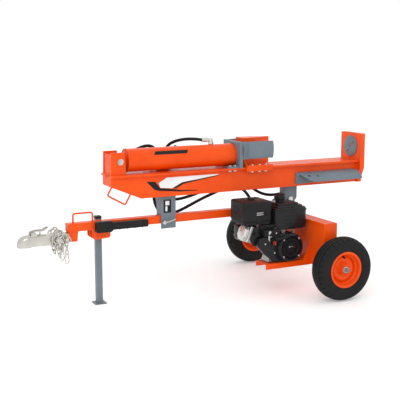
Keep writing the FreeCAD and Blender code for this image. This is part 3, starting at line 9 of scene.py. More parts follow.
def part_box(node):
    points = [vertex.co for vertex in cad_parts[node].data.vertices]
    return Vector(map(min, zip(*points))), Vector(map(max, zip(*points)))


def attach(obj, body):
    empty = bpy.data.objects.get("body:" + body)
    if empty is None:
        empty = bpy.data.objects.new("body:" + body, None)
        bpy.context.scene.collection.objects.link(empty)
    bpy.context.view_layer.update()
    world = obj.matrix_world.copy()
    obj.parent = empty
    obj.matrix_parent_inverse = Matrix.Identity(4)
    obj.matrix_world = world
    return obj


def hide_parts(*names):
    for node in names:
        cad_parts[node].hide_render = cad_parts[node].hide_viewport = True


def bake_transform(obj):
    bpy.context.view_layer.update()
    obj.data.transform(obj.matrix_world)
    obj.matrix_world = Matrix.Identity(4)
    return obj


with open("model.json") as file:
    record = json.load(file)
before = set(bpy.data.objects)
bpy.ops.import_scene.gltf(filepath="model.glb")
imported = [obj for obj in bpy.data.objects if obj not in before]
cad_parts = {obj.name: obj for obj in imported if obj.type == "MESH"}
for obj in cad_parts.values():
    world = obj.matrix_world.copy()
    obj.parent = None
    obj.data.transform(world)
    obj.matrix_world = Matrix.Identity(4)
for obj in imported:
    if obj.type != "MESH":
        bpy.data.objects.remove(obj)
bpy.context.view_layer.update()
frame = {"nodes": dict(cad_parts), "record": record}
nodes = frame["nodes"]
scene = bpy.context.scene
print("frame loaded,", len(nodes), "nodes")

axleX = (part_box("left_tyre")[0].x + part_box("left_tyre")[1].x) / 2  # the middle of the wheels


def at(x, y, z):  # millimetres behind the axle, across the wheels and above the ground
    return Vector((axleX + x / 1000, y / 1000, z / 1000))


def mm(value):
    return value / 1000


# ---- camera, stage and lights ----
view = {"lens": 75, "azimuth": 26.56, "elevation": 9.78, "place": (-3103, -4765, 1531)}
studio = {"floor": (0.85, 0.85, 0.85, 1), "floorGlow": 0.22, "floorRough": 0.9, "floorRadius": 60,
          "sky": (1, 1, 1, 1), "skyStrength": 1.0, "lampAim": (-700, 0, 500)}
lamps = {
    "keyLamp": {"place": (-2800, -3200, 3400), "power": 45, "size": 2.2},
    "fillLamp": {"place": (2600, -3000, 2200), "power": 8, "size": 2.6},
    "backLamp": {"place": (600, 3600, 3000), "power": 12, "size": 2.6},
}

cameraData = bpy.data.cameras.new("camera")
cameraData.lens = view["lens"]
camera = bpy.data.objects.new("camera", cameraData)
camera.location = at(*view["place"])
camera.rotation_euler = (math.radians(90 - view["elevation"]), 0, -math.radians(view["azimuth"]))
scene.collection.objects.link(camera)
scene.camera = camera
scene.view_settings.view_transform = "Standard"

floorForm = bmesh.new()
bmesh.ops.create_circle(floorForm, cap_ends=True, segments=64, radius=studio["floorRadius"])
floorMesh = bpy.data.meshes.new("floor")
floorForm.to_mesh(floorMesh)
floorForm.free()
floor = bpy.data.objects.new("floor", floorMesh)
scene.collection.objects.link(floor)
floorPaint = bpy.data.materials.new("studioFloor")
floorPaint.use_nodes = True
for label, value in (("Base Color", studio["floor"]), ("Roughness", studio["floorRough"]),
                     ("Emission Color", studio["sky"]), ("Emission Strength", studio["floorGlow"])):
    floorPaint.node_tree.nodes["Principled BSDF"].inputs[label].default_value = value
floorMesh.materials.append(floorPaint)

world = bpy.data.worlds.new("studio")
world.use_nodes = True
world.node_tree.nodes["Background"].inputs["Color"].default_value = studio["sky"]
world.node_tree.nodes["Background"].inputs["Strength"].default_value = studio["skyStrength"]
scene.world = world
for lampName, lamp in lamps.items():
    lampData = bpy.data.lights.new(lampName, "AREA")
    lampData.energy = lamp["power"]
    lampData.size = lamp["size"]
    lampObject = bpy.data.objects.new(lampName, lampData)
    lampObject.location = at(*lamp["place"])
    aim = at(*studio["lampAim"]) - lampObject.location
    lampObject.rotation_euler = aim.to_track_quat("-Z", "Y").to_euler()
    scene.collection.objects.link(lampObject)
print("camera and studio made")


# ---- shared surface effects ----
def newGroup(name, inputs, outputs):
    group = bpy.data.node_groups.new(name, "ShaderNodeTree")
    for label, kind, value in inputs:
        group.interface.new_socket(name=label, in_out="INPUT", socket_type=kind).default_value = value
    for label, kind in outputs:
        group.interface.new_socket(name=label, in_out="OUTPUT", socket_type=kind)
    return group, group.nodes.new("NodeGroupInput"), group.nodes.new("NodeGroupOutput")


def addNode(tree, kind, **values):  # a shader node with some inputs set
    node = tree.nodes.new("ShaderNode" + kind)
    for label, value in values.items():
        node.inputs[label].default_value = value
    return node


def multiply(tree):
    node = addNode(tree, "Math")
    node.operation = "MULTIPLY"
    return node


def makeMottleGroup():  # a slow change of tone over the surface, as a value between Low and High
    group, given, result = newGroup(
        "mottle",
        [("Scale", "NodeSocketFloat", 10.0), ("Low", "NodeSocketFloat", 0.3),
         ("High", "NodeSocketFloat", 0.5)],
        [("Value", "NodeSocketFloat")])
    place = addNode(group, "TexCoord")
    noise = addNode(group, "TexNoise", Detail=5)
    spread = addNode(group, "MapRange", **{"From Min": 0.3, "From Max": 0.7})
    link = group.links.new
    link(place.outputs["Object"], noise.inputs["Vector"])
    link(given.outputs["Scale"], noise.inputs["Scale"])
    link(noise.outputs["Fac"], spread.inputs["Value"])
    link(given.outputs["Low"], spread.inputs["To Min"])
    link(given.outputs["High"], spread.inputs["To Max"])
    link(spread.outputs["Result"], result.inputs["Value"])
    return group


def makeGrainGroup():  # fine height over the surface, for bump
    group, given, result = newGroup(
        "grain", [("Scale", "NodeSocketFloat", 400.0)], [("Height", "NodeSocketFloat")])
    place = addNode(group, "TexCoord")
    noise = addNode(group, "TexNoise", Detail=3)
    link = group.links.new
    link(place.outputs["Object"], noise.inputs["Vector"])
    link(given.outputs["Scale"], noise.inputs["Scale"])
    link(noise.outputs["Fac"], result.inputs["Height"])
    return group


def makeEdgeGroup():  # rounds the look of sharp edges, and gives a mask of where they rub
    group, given, result = newGroup(
        "edges", [("Radius", "NodeSocketFloat", 0.0015), ("Patches", "NodeSocketFloat", 60.0)],
        [("Rub", "NodeSocketFloat"), ("Normal", "NodeSocketVector")])
    soft = addNode(group, "Bevel")
    soft.samples = 6
    shape = addNode(group, "NewGeometry")
    dot = addNode(group, "VectorMath")
    dot.operation = "DOT_PRODUCT"
    place = addNode(group, "TexCoord")
    noise = addNode(group, "TexNoise")
    bend = addNode(group, "MapRange", **{"From Min": 0.97, "From Max": 0.80})
    broken = addNode(group, "MapRange", **{"From Min": 0.52, "From Max": 0.66})
    both = multiply(group)
    link = group.links.new
    link(given.outputs["Radius"], soft.inputs["Radius"])
    link(soft.outputs["Normal"], dot.inputs[0])
    link(shape.outputs["Normal"], dot.inputs[1])
    link(dot.outputs["Value"], bend.inputs["Value"])
    link(place.outputs["Object"], noise.inputs["Vector"])
    link(given.outputs["Patches"], noise.inputs["Scale"])
    link(noise.outputs["Fac"], broken.inputs["Value"])
    link(bend.outputs["Result"], both.inputs[0])
    link(broken.outputs["Result"], both.inputs[1])
    link(both.outputs["Value"], result.inputs["Rub"])
    link(soft.outputs["Normal"], result.inputs["Normal"])
    return group


def makeDustGroup():  # a mask of dust that has settled on faces that look up
    group, given, result = newGroup(
        "dust", [("Amount", "NodeSocketFloat", 0.2)], [("Mask", "NodeSocketFloat")])
    shape = addNode(group, "NewGeometry")
    parts = addNode(group, "SeparateXYZ")
    place = addNode(group, "TexCoord")
    noise = addNode(group, "TexNoise", Scale=26, Detail=6)
    up = addNode(group, "MapRange", **{"From Min": 0.2})
    one, two = multiply(group), multiply(group)
    link = group.links.new
    link(shape.outputs["Normal"], parts.inputs["Vector"])
    link(parts.outputs["Z"], up.inputs["Value"])
    link(place.outputs["Object"], noise.inputs["Vector"])
    link(up.outputs["Result"], one.inputs[0])
    link(noise.outputs["Fac"], one.inputs[1])
    link(one.outputs["Value"], two.inputs[0])
    link(given.outputs["Amount"], two.inputs[1])
    link(two.outputs["Value"], result.inputs["Mask"])
    return group


mottle, grain, edges, dust = makeMottleGroup(), makeGrainGroup(), makeEdgeGroup(), makeDustGroup()
print("surface effects made")

# ---- finishes ----
finishes = {
    "orangePaint": {"color": (0.84, 0.082, 0.001), "deep": (0.74, 0.062, 0.001), "rough": (0.3, 0.42),
                    "grain": 260, "bump": 0.05, "coat": 0.08, "rubbed": (0.9, 0.3, 0.12), "dust": 0.015,
                    "shine": 0.18},
    "greyPaint": {"color": (0.165, 0.205, 0.235), "deep": (0.135, 0.17, 0.2), "rough": (0.34, 0.46),
                  "grain": 260, "bump": 0.05, "coat": 0.04, "rubbed": (0.36, 0.4, 0.43), "dust": 0.02,
                  "shine": 0.22},
    "blackPaint": {"color": (0.012, 0.012, 0.013), "deep": (0.007, 0.007, 0.008), "rough": (0.2, 0.32),
                   "grain": 300, "bump": 0.04, "coat": 0.15, "rubbed": (0.06, 0.06, 0.06), "dust": 0.03,
                   "shine": 0.16},
    "blackPlastic": {"color": (0.016, 0.016, 0.017), "deep": (0.01, 0.01, 0.011), "rough": (0.38, 0.52),
                     "grain": 900, "bump": 0.22, "coat": 0.0, "rubbed": (0.05, 0.05, 0.05), "dust": 0.03,
                     "shine": 0.16},
    "redPlastic": {"color": (0.45, 0.018, 0.01), "deep": (0.34, 0.012, 0.008), "rough": (0.3, 0.42),
                   "grain": 700, "bump": 0.1, "coat": 0.1, "rubbed": (0.6, 0.1, 0.06), "dust": 0.08},
    "zincPlate": {"color": (0.66, 0.64, 0.58), "deep": (0.5, 0.49, 0.46), "rough": (0.24, 0.44),
                  "metal": 1.0, "grain": 180, "bump": 0.1, "coat": 0.0, "rubbed": (0.82, 0.81, 0.78),
                  "dust": 0.05},
    "brightSteel": {"color": (0.6, 0.6, 0.6), "deep": (0.48, 0.48, 0.48), "rough": (0.2, 0.32),
                    "metal": 1.0, "grain": 500, "bump": 0.06, "coat": 0.0, "rubbed": (0.8, 0.8, 0.8),
                    "dust": 0.0},
    "hardChrome": {"color": (0.8, 0.8, 0.82), "deep": (0.76, 0.76, 0.78), "rough": (0.05, 0.09),
                   "metal": 1.0, "grain": 700, "bump": 0.01, "coat": 0.0, "rubbed": (0.9, 0.9, 0.9),
                   "dust": 0.0},
    "castAlloy": {"color": (0.46, 0.46, 0.45), "deep": (0.34, 0.34, 0.34), "rough": (0.38, 0.55),
                  "metal": 0.85, "grain": 420, "bump": 0.3, "coat": 0.0, "rubbed": (0.7, 0.7, 0.7),
                  "dust": 0.06},
    "brightAlloy": {"color": (0.74, 0.73, 0.7), "deep": (0.62, 0.61, 0.59), "rough": (0.26, 0.38),
                    "metal": 0.9, "grain": 500, "bump": 0.12, "coat": 0.0, "rubbed": (0.85, 0.85, 0.85),
                    "dust": 0.03},
    "ironPaint": {"color": (0.085, 0.09, 0.095), "deep": (0.06, 0.063, 0.068), "rough": (0.42, 0.6),
                  "grain": 200, "bump": 0.35, "coat": 0.05, "rubbed": (0.2, 0.2, 0.2), "dust": 0.12},
    "brass": {"color": (0.62, 0.42, 0.14), "deep": (0.48, 0.31, 0.1), "rough": (0.25, 0.4), "metal": 1.0,
              "grain": 400, "bump": 0.05, "coat": 0.0, "rubbed": (0.8, 0.6, 0.3), "dust": 0.0},
    "tyreRubber": {"color": (0.014, 0.014, 0.014), "deep": (0.009, 0.009, 0.009), "rough": (0.55, 0.72),
                   "grain": 520, "bump": 0.25, "coat": 0.0, "rubbed": (0.03, 0.03, 0.03), "dust": 0.03,
                   "shine": 0.16},
    "hoseRubber": {"color": (0.013, 0.013, 0.014), "deep": (0.008, 0.008, 0.009), "rough": (0.34, 0.5),
                   "grain": 420, "bump": 0.3, "coat": 0.0, "rubbed": (0.03, 0.03, 0.03), "dust": 0.03,
                   "shine": 0.16},
    "whiteVinyl": {"color": (0.82, 0.82, 0.82), "deep": (0.74, 0.74, 0.74), "rough": (0.28, 0.36),
                   "grain": 300, "bump": 0.03, "coat": 0.3, "rubbed": (0.8, 0.8, 0.8), "dust": 0.05},
    "blackVinyl": {"color": (0.012, 0.012, 0.012), "deep": (0.009, 0.009, 0.009), "rough": (0.28, 0.36),
                   "grain": 300, "bump": 0.03, "coat": 0.05, "rubbed": (0.03, 0.03, 0.03), "dust": 0.03,
                   "shine": 0.16},
}


def makeFinish(name, look):
    material = bpy.data.materials.new(name)
    material.use_nodes = True
    tree = material.node_tree
    link = tree.links.new
    shader = tree.nodes["Principled BSDF"]
    for label, value in (("Coat Weight", look["coat"]), ("Coat Roughness", 0.12),
                         ("Metallic", look.get("metal", 0.0)),
                         ("Specular IOR Level", look.get("shine", 0.4))):
        shader.inputs[label].default_value = value

    def place(group, **values):
        node = tree.nodes.new("ShaderNodeGroup")
        node.node_tree = group
        for label, value in values.items():
            node.inputs[label].default_value = value
        return node

    def mix(first, second, factor):
        node = tree.nodes.new("ShaderNodeMix")
        node.data_type = "RGBA"
        link(factor, node.inputs["Factor"])
        for socket, value in ((node.inputs[6], first), (node.inputs[7], second)):
            if isinstance(value, tuple):
                socket.default_value = (*value, 1)
            else:
                link(value, socket)
        return node.outputs[2]

    tone = place(mottle, Scale=7.0, Low=0.0, High=1.0)
    gloss = place(mottle, Scale=34.0, Low=look["rough"][0], High=look["rough"][1])
    edge = place(edges)
    settled = place(dust, Amount=look["dust"])
    color = mix(look["color"], look["deep"], tone.outputs["Value"])
    color = mix(color, look["rubbed"], edge.outputs["Rub"])
    color = mix(color, (0.36, 0.33, 0.29), settled.outputs["Mask"])
    bump = addNode(tree, "Bump", Strength=look["bump"], Distance=0.0006)
    fine = place(grain, Scale=look["grain"])
    link(fine.outputs["Height"], bump.inputs["Height"])
    link(edge.outputs["Normal"], bump.inputs["Normal"])
    link(color, shader.inputs["Base Color"])
    link(gloss.outputs["Value"], shader.inputs["Roughness"])
    link(bump.outputs["Normal"], shader.inputs["Normal"])
    return material


finish = {name: makeFinish(name, look) for name, look in finishes.items()}
slotFinish = {
    "orange_powder": "orangePaint", "grey_powder": "greyPaint", "black_paint": "blackPaint",
    "black_plastic": "blackPlastic", "red_plastic": "redPlastic", "zinc_plate": "zincPlate",
    "bright_steel": "brightSteel", "chrome_rod": "hardChrome", "cast_alloy": "castAlloy",
    "bright_alloy": "brightAlloy", "grey_iron": "ironPaint", "filter_black": "blackPaint",
    "tyre_rubber": "tyreRubber", "hose_rubber": "hoseRubber",
}
for row in frame["record"]["subparts"]:
    node = nodes[row["node"]]
    node.data.materials.clear()
    node.data.materials.append(finish[slotFinish[row["material_slot"]]])
print("finishes made and given to the CAD parts")


# ---- how pieces are made ----
def turned(direction):  # the turn that takes +Z to a direction
    return Vector(direction).normalized().to_track_quat("Z", "Y").to_matrix().to_4x4()


def soften(form, verts, width, segments=2, least=30):
    rims = {edge for vert in verts if vert.is_valid for edge in vert.link_edges}
    sharp = [edge for edge in rims if edge.is_manifold and edge.calc_face_angle(0) > math.radians(least)]
    bmesh.ops.bevel(form, geom=sharp, offset=width, offset_type="OFFSET", segments=segments, profile=0.5,
                    affect="EDGES", material=-1, clamp_overlap=True)


def addBlock(form, low, high, bevel=0.0, segments=2, turn=None):
    made = bmesh.ops.create_cube(form, size=1.0)["verts"]
    bmesh.ops.scale(form, vec=high - low, verts=made)
    if turn is not None:
        bmesh.ops.transform(form, matrix=turn, verts=made)
    bmesh.ops.translate(form, vec=(low + high) / 2, verts=made)
    if bevel:
        soften(form, made, bevel, segments)


def addRod(form, start, end, radius, tip=None, bevel=0.0, segments=28, rings=2):
    made = bmesh.ops.create_cone(form, cap_ends=True, segments=segments, radius1=radius,
                                 radius2=radius if tip is None else tip, depth=(end - start).length)["verts"]
    bmesh.ops.transform(form, matrix=Matrix.Translation((start + end) / 2) @ turned(end - start),
                        verts=made)
    if bevel:
        soften(form, made, bevel, rings, least=50)


def addBall(form, centre, radius):
    made = bmesh.ops.create_uvsphere(form, u_segments=28, v_segments=16, radius=radius)["verts"]
    bmesh.ops.translate(form, vec=centre, verts=made)


def addPlate(form, outline, thickness, bevel=0.0, segments=2):  # outline points, then pushed by a vector
    verts = [form.verts.new(point) for point in outline]
    face = form.faces.new(verts)
    pushed = bmesh.ops.extrude_face_region(form, geom=[face], use_keep_orig=True)["geom"]
    far = [item for item in pushed if isinstance(item, bmesh.types.BMVert)]
    bmesh.ops.translate(form, vec=thickness, verts=far)
    if bevel:
        soften(form, verts + far, bevel, segments)


def addSpin(form, profile, centre, axis, steps=72, closed=True):
    verts = [form.verts.new(point) for point in profile]
    pairs = list(zip(verts, verts[1:] + verts[:1])) if closed else list(zip(verts, verts[1:]))
    lines = [form.edges.new(pair) for pair in pairs]
    bmesh.ops.spin(form, geom=verts + lines, cent=centre, axis=axis, dvec=(0, 0, 0),
                   angle=math.tau, steps=steps, use_merge=True, use_duplicate=False)


def addTube(form, points, radius, sides=12, closed=False):
    heading = (points[1] - points[0]).normalized()
    ring = bmesh.ops.create_circle(form, cap_ends=not closed, radius=radius, segments=sides)["verts"]
    bmesh.ops.transform(form, matrix=Matrix.Translation(points[0]) @ turned(heading), verts=ring)
    rim = list({edge for vert in ring for edge in vert.link_edges})
    for index in range(1, len(points)):
        pushed = bmesh.ops.extrude_edge_only(form, edges=rim)["geom"]
        ring = [item for item in pushed if isinstance(item, bmesh.types.BMVert)]
        rim = [item for item in pushed if isinstance(item, bmesh.types.BMEdge)
               and item.verts[0] in ring and item.verts[1] in ring]
        after = points[min(index + 1, len(points) - 1)] - points[index]
        before = points[index] - points[index - 1]
        ahead = before.normalized()
        if after.length > 1e-9:
            ahead = (ahead + after.normalized()).normalized()
        if closed and index == len(points) - 1:
            ahead = (points[1] - points[0]).normalized()
        bend = heading.rotation_difference(ahead).to_matrix().to_4x4()
        move = Matrix.Translation(points[index]) @ bend @ Matrix.Translation(-points[index - 1])
        bmesh.ops.transform(form, matrix=move, verts=ring)
        heading = ahead
    if not closed:
        bmesh.ops.contextual_create(form, geom=rim)


def addHex(form, start, end, across, bevel=0.0006):
    addRod(form, start, end, across / math.sqrt(3), bevel=bevel, segments=6)


def addBolt(form, place, direction, size, washer=True):  # a hexagon head with a washer under it
    way = Vector(direction).normalized()
    if washer:
        addRod(form, place, place + way * mm(1.6), size * 1.15, bevel=mm(0.4), segments=24)
    start = place + way * mm(1.6 if washer else 0)
    addHex(form, start, start + way * size * 0.75, size * 1.75)
    addRod(form, start + way * size * 0.7, start + way * size * 0.95, size * 0.45, bevel=mm(0.5),
           segments=16)


def newPiece(name, form, body, slotName, replaces=(), look=None, smooth=35):
    bmesh.ops.remove_doubles(form, verts=form.verts, dist=1e-6)
    bmesh.ops.recalc_face_normals(form, faces=form.faces)
    mesh = bpy.data.meshes.new(name)
    form.to_mesh(mesh)
    form.free()
    mesh.polygons.foreach_set("use_smooth", [True] * len(mesh.polygons))
    mesh.set_sharp_from_angle(angle=math.radians(smooth))
    mesh.materials.append(finish[look or slotFinish[slotName]])
    piece = bpy.data.objects.new(name, mesh)
    scene.collection.objects.link(piece)
    if body:
        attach(piece, body)
    if replaces:
        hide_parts(*replaces)
    return piece


# ---- hoses ----
hose = {"radius": 10, "ferruleRadius": 13.5, "ferruleLength": 42, "nut": 25}
suctionHose = {"radius": 15}
pump = {"x": -237, "pressureY": 84, "pressureZ": 358}
valve = {"y": 136, "floor": 838, "roof": 900, "inX": -952, "outX": -914, "workX": (-975, -900),
         "leverX": -827, "leverLean": 0.2, "leverLength": 70}
filterPort = {"x": -25, "y": 90, "z": 546}
rodPort = {"x": -645, "z": 984}
basePort = {"x": -1185, "y": 86, "z": 914}

pressureRoute = [
    (-237, 84, 358), (-237, 84, 392), (-240, 86, 430), (-250, 90, 478), (-268, 98, 532), (-296, 104, 590),
    (-338, 106, 640), (-396, 106, 668), (-455, 104, 668), (-515, 98, 652), (-575, 92, 634), (-640, 86, 614),
    (-702, 80, 592), (-762, 76, 568), (-820, 74, 545), (-876, 74, 528), (-928, 76, 524), (-972, 82, 542),
    (-996, 92, 584), (-1002, 106, 634), (-998, 120, 688), (-988, 130, 734), (-968, 135, 772),
    (-952, 136, 796), (-952, 136, 824)]
returnRoute = [
    (-914, 136, 824), (-914, 136, 796), (-917, 133, 762), (-926, 124, 720), (-935, 112, 678),
    (-932, 100, 642),
    (-904, 88, 620), (-856, 82, 614), (-800, 82, 620), (-742, 84, 632), (-684, 90, 646), (-624, 98, 660),
    (-564, 106, 676), (-504, 112, 690), (-444, 116, 700), (-384, 118, 698), (-326, 118, 682),
    (-276, 116, 652),
    (-230, 112, 620), (-184, 106, 598), (-136, 100, 588), (-92, 95, 588), (-54, 91, 594), (-32, 90, 580),
    (-25, 90, 563), (-25, 90, 546)]
rodEndRoute = [
    (-900, 136, 914), (-900, 136, 938), (-893, 125, 964), (-872, 101, 986), (-838, 70, 1002),
    (-794, 40, 1010),
    (-744, 14, 1009), (-700, 0, 1002), (-669, 0, 1002)]
baseEndRoute = [
    (-975, 136, 914), (-975, 136, 936), (-987, 137, 957), (-1016, 139, 968), (-1052, 140, 966),
    (-1088, 138, 955), (-1122, 135, 942), (-1156, 131, 926), (-1178, 119, 916), (-1185, 102, 914),
    (-1185, 86, 914)]
suctionRoute = [(-89, 38, 262), (-111, 38, 262), (-132, 22, 292), (-153, 6, 318), (-175, 6, 318)]


def splineCurve(name, route, radius):
    curve = bpy.data.curves.new(name, "CURVE")
    curve.dimensions = "3D"
    curve.resolution_u = 10
    curve.bevel_depth = mm(radius)
    curve.bevel_resolution = 5
    curve.use_fill_caps = True
    spline = curve.splines.new("NURBS")
    spline.points.add(len(route) - 1)
    for point, place in zip(spline.points, route):
        point.co = (*at(*place), 1)
    spline.order_u = 3
    spline.use_endpoint_u = True
    return bpy.data.objects.new(name, curve)


def lineOf(route):  # the points of the route's own smooth line
    bare = splineCurve("bareLine", route, 0)
    mesh = bpy.data.meshes.new_from_object(bare)
    points = [vert.co.copy() for vert in mesh.vertices]
    bpy.data.meshes.remove(mesh)
    bpy.data.curves.remove(bare.data)
    return points


def addFitting(form, place, direction):  # the crimped steel end of a hose, from its fitting along the hose
    way = Vector(direction).normalized()
    nutEnd = place + way * mm(12)
    addHex(form, place, nutEnd, mm(hose["nut"]))
    ferruleEnd = nutEnd + way * mm(hose["ferruleLength"] - 12)
    addRod(form, nutEnd, ferruleEnd, mm(hose["ferruleRadius"]), bevel=mm(1.5))
    for index in range(3):
        ringAt = nutEnd + way * mm(6 + 8 * index)
        addRod(form, ringAt, ringAt + way * mm(3), mm(hose["ferruleRadius"] + 0.9), bevel=mm(0.8))


def makeHose(name, route, radius, body, other, node):
    line = lineOf(route)
    tubeForm = bmesh.new()
    curveObject = splineCurve(name + "Curve", route, radius)
    mesh = bpy.data.meshes.new_from_object(curveObject)
    tubeForm.from_mesh(mesh)
    bpy.data.meshes.remove(mesh)
    bpy.data.curves.remove(curveObject.data)
    piece = newPiece(name, tubeForm, None if other else body, "hose_rubber", [node] if node else [])
    if other:
        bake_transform(piece)
    return line


makeHose("pressureHose", pressureRoute, hose["radius"], "chassis", "beam_frame", "pressure_hose")
makeHose("returnHose", returnRoute, hose["radius"], "chassis", "beam_frame", "return_hose")
makeHose("rodEndHose", rodEndRoute, hose["radius"], "beam_frame", None, None)
makeHose("baseEndHose", baseEndRoute, hose["radius"], "beam_frame", None, None)
suctionLine = makeHose("suctionHose", suctionRoute, suctionHose["radius"], "chassis", None, "suction_hose")

beamFittings = bmesh.new()
for x, z, way in ((valve["inX"], valve["floor"] - 14, -1), (valve["outX"], valve["floor"] - 14, -1),
                  (valve["workX"][0], valve["roof"] + 14, 1), (valve["workX"][1], valve["roof"] + 14, 1)):
    addFitting(beamFittings, at(x, valve["y"], z), (0, 0, way))
addFitting(beamFittings, at(rodPort["x"] - 24, 0, rodPort["z"] + 18), (-1, 0, 0.05))
elbow = at(rodPort["x"], 0, rodPort["z"])
addRod(beamFittings, elbow, elbow + Vector((0, 0, mm(30))), mm(13), bevel=mm(3))
addRod(beamFittings, at(rodPort["x"] - 24, 0, rodPort["z"] + 18),
       at(rodPort["x"] + 8, 0, rodPort["z"] + 18), mm(12), bevel=mm(3))
addHex(beamFittings, elbow - Vector((0, 0, mm(10))), elbow + Vector((0, 0, mm(4))), mm(32))
addFitting(beamFittings, at(basePort["x"], basePort["y"], basePort["z"]), (0, 1, 0))
newPiece("beamHoseFittings", beamFittings, "beam_frame", "zinc_plate", ["cylinder_hoses"])
frameFittings = bmesh.new()
addFitting(frameFittings, at(pump["x"], pump["pressureY"], pump["pressureZ"]), (0, 0, 1))
addFitting(frameFittings, at(filterPort["x"], filterPort["y"], filterPort["z"]), (0, 0, 1))
for place, way in ((suctionLine[0], 1), (suctionLine[-1], -1)):  # worm-drive clips
    start = place + Vector((-way * mm(3), 0, 0))
    addRod(frameFittings, start, start + Vector((-way * mm(12), 0, 0)), mm(16.2), bevel=mm(0.5))
    addBlock(frameFittings, start + Vector((-mm(6) - way * mm(6), -mm(6), mm(14))),
             start + Vector((mm(6) - way * mm(6), mm(6), mm(21))), mm(1.5))
newPiece("frameHoseFittings", frameFittings, "chassis", "zinc_plate")
print("hoses made")

# ---- wheels ----
wheel = {"side": 568, "z": 205, "tread": 205, "shoulder": 191, "half": 59.4, "clinch": 118, "bead": 103,
         "ribHalf": 51, "grooves": (-32, -11, 11, 32), "grooveWidth": 5, "grooveDepth": 5, "steps": 96,
         "lugEvery": 3, "lugDepth": 3.2, "hub": 32, "steel": 3.2, "stripe": (52.6, 126)}


def crown(y):  # the tread's radius across the tyre
    return wheel["tread"] - (wheel["tread"] - wheel["shoulder"]) * (y / wheel["ribHalf"]) ** 2


def tyreOutline():
    low, half = wheel["clinch"], wheel["half"]
    sideWall = [(wheel["bead"], -44), (108, -47.5), (low, -48.2), (low + 3, -52), (low + 10, -55.5),
                (142, -58.6), (156, -half), (170, -58.6), (181, -56), (187, -54)]
    tread = [(wheel["shoulder"], -wheel["ribHalf"])]
    for middle in wheel["grooves"]:
        edge = wheel["grooveWidth"] / 2
        for y, depth in ((middle - edge, 0), (middle - edge + 1, 1), (middle + edge - 1, 1),
                         (middle + edge, 0)):
            tread.append((crown(y) - depth * wheel["grooveDepth"], y))
    tread.append((wheel["shoulder"], wheel["ribHalf"]))
    otherWall = [(radius, -y) for radius, y in reversed(sideWall)]
    inside = [(wheel["bead"], 35), (120, 40), (156, 49), (180, 44), (193, 0), (180, -44), (156, -49),
              (120, -40), (wheel["bead"], -35)]
    return sideWall + tread + otherWall + inside


def makeWheel(name, side):
    centre = at(0, side * wheel["side"], wheel["z"])
    body = name + "_wheel"
    form = bmesh.new()
    profile = [centre + Vector((0, mm(y), mm(radius))) for radius, y in tyreOutline()]
    addSpin(form, profile, centre, (0, 1, 0), wheel["steps"])
    bmesh.ops.recalc_face_normals(form, faces=form.faces)
    lugs = []
    for face in form.faces:
        off = face.calc_center_median() - centre
        reach, across = math.hypot(off.x, off.z) * 1000, abs(off.y) * 1000
        turn = int((math.atan2(off.x, off.z) / math.tau + 0.5) * wheel["steps"] + 0.01)
        if 186 < reach < 200 and 42 < across < 56 and turn % wheel["lugEvery"] == 0:
            lugs.append(face)
    for face in bmesh.ops.extrude_discrete_faces(form, faces=lugs)["faces"]:
        bmesh.ops.translate(form, vec=-face.normal * mm(wheel["lugDepth"]), verts=face.verts)
    ringY, ringRadius = wheel["stripe"]
    for wall in (1, -1):  # a raised ring on each wall
        ring = [centre + Vector((0, mm(wall * (ringY + out)), mm(ringRadius + up)))
                for out, up in ((-3.5, -2), (2.2, 0), (-3.5, 2))]
        addSpin(form, ring, centre, (0, 1, 0), wheel["steps"])
    newPiece(name + "Tyre", form, body, "tyre_rubber", [name + "_tyre"], smooth=28)

    form = bmesh.new()
    rimBarrel = [(117, -51.5), (116.5, -50), (113, -48.6), (105, -47.6), (102.5, -44), (101, -28), (91, -19),
                 (89, -12), (89, 12), (91, 19), (101, 28), (102.5, 44), (105, 47.6), (113, 48.6), (116.5, 50),
                 (117, 51.5)]
    web = [(89, 6), (84, 12), (76, 17), (70, 22), (62, 24), (54, 22), (47, 17), (41, 16), (37, 20),
           (34, 26), (32.5, 32)]
    for outline, flip in ((rimBarrel, 1), (web, side)):
        verts = [form.verts.new(centre + Vector((0, mm(y * flip), mm(radius)))) for radius, y in outline]
        lines = [form.edges.new(pair) for pair in zip(verts, verts[1:])]
        bmesh.ops.spin(form, geom=verts + lines, cent=centre, axis=(0, 1, 0), dvec=(0, 0, 0),
                       angle=math.tau, steps=wheel["steps"], use_merge=True, use_duplicate=False)
    bmesh.ops.remove_doubles(form, verts=form.verts, dist=1e-6)
    bmesh.ops.recalc_face_normals(form, faces=form.faces)
    bmesh.ops.solidify(form, geom=form.faces, thickness=mm(wheel["steel"]))
    tube = [(wheel["hub"], -45), (wheel["hub"] - 1, -46), (24, -46), (24, -30), (24, 30), (24, 46),
            (wheel["hub"] - 1, 46), (wheel["hub"], 45)]
    addSpin(form, [centre + Vector((0, mm(y), mm(radius))) for radius, y in tube], centre, (0, 1, 0), 48)
    hubWeld = [centre + Vector((0, mm(side * (30 + 3 * math.cos(a))), mm(33.5 + 3 * math.sin(a))))
               for a in range(7)]
    addSpin(form, hubWeld, centre, (0, 1, 0), 48)
    newPiece(name + "Rim", form, body, "orange_powder", [name + "_rim"])

    form = bmesh.new()
    stem = centre + Vector((0, mm(side * 10), mm(78)))
    way = Vector((0, mm(side * 1.0), mm(-0.25)))
    addRod(form, stem, stem + way * 9, mm(7.5), bevel=mm(2))
    addRod(form, stem + way * 8, stem + way * 17, mm(4), bevel=mm(0.8))
    addRod(form, stem + way * 17, stem + way * 24, mm(4.8), bevel=mm(1.2))
    newPiece(name + "Valve", form, body, "hose_rubber")
    form = bmesh.new()  # the bearing's seal inside the hub
    for end in (-1, 1):
        seal = centre + Vector((0, mm(end * 43), 0))
        ring = [seal + Vector((0, mm(end * y), mm(radius)))
                for radius, y in ((23.3, -1), (23.3, 1.2), (20, 2), (14, 1), (14, -1))]
        addSpin(form, ring, seal, (0, 1, 0), 48)
    newPiece(name + "HubSeals", form, body, "hose_rubber")


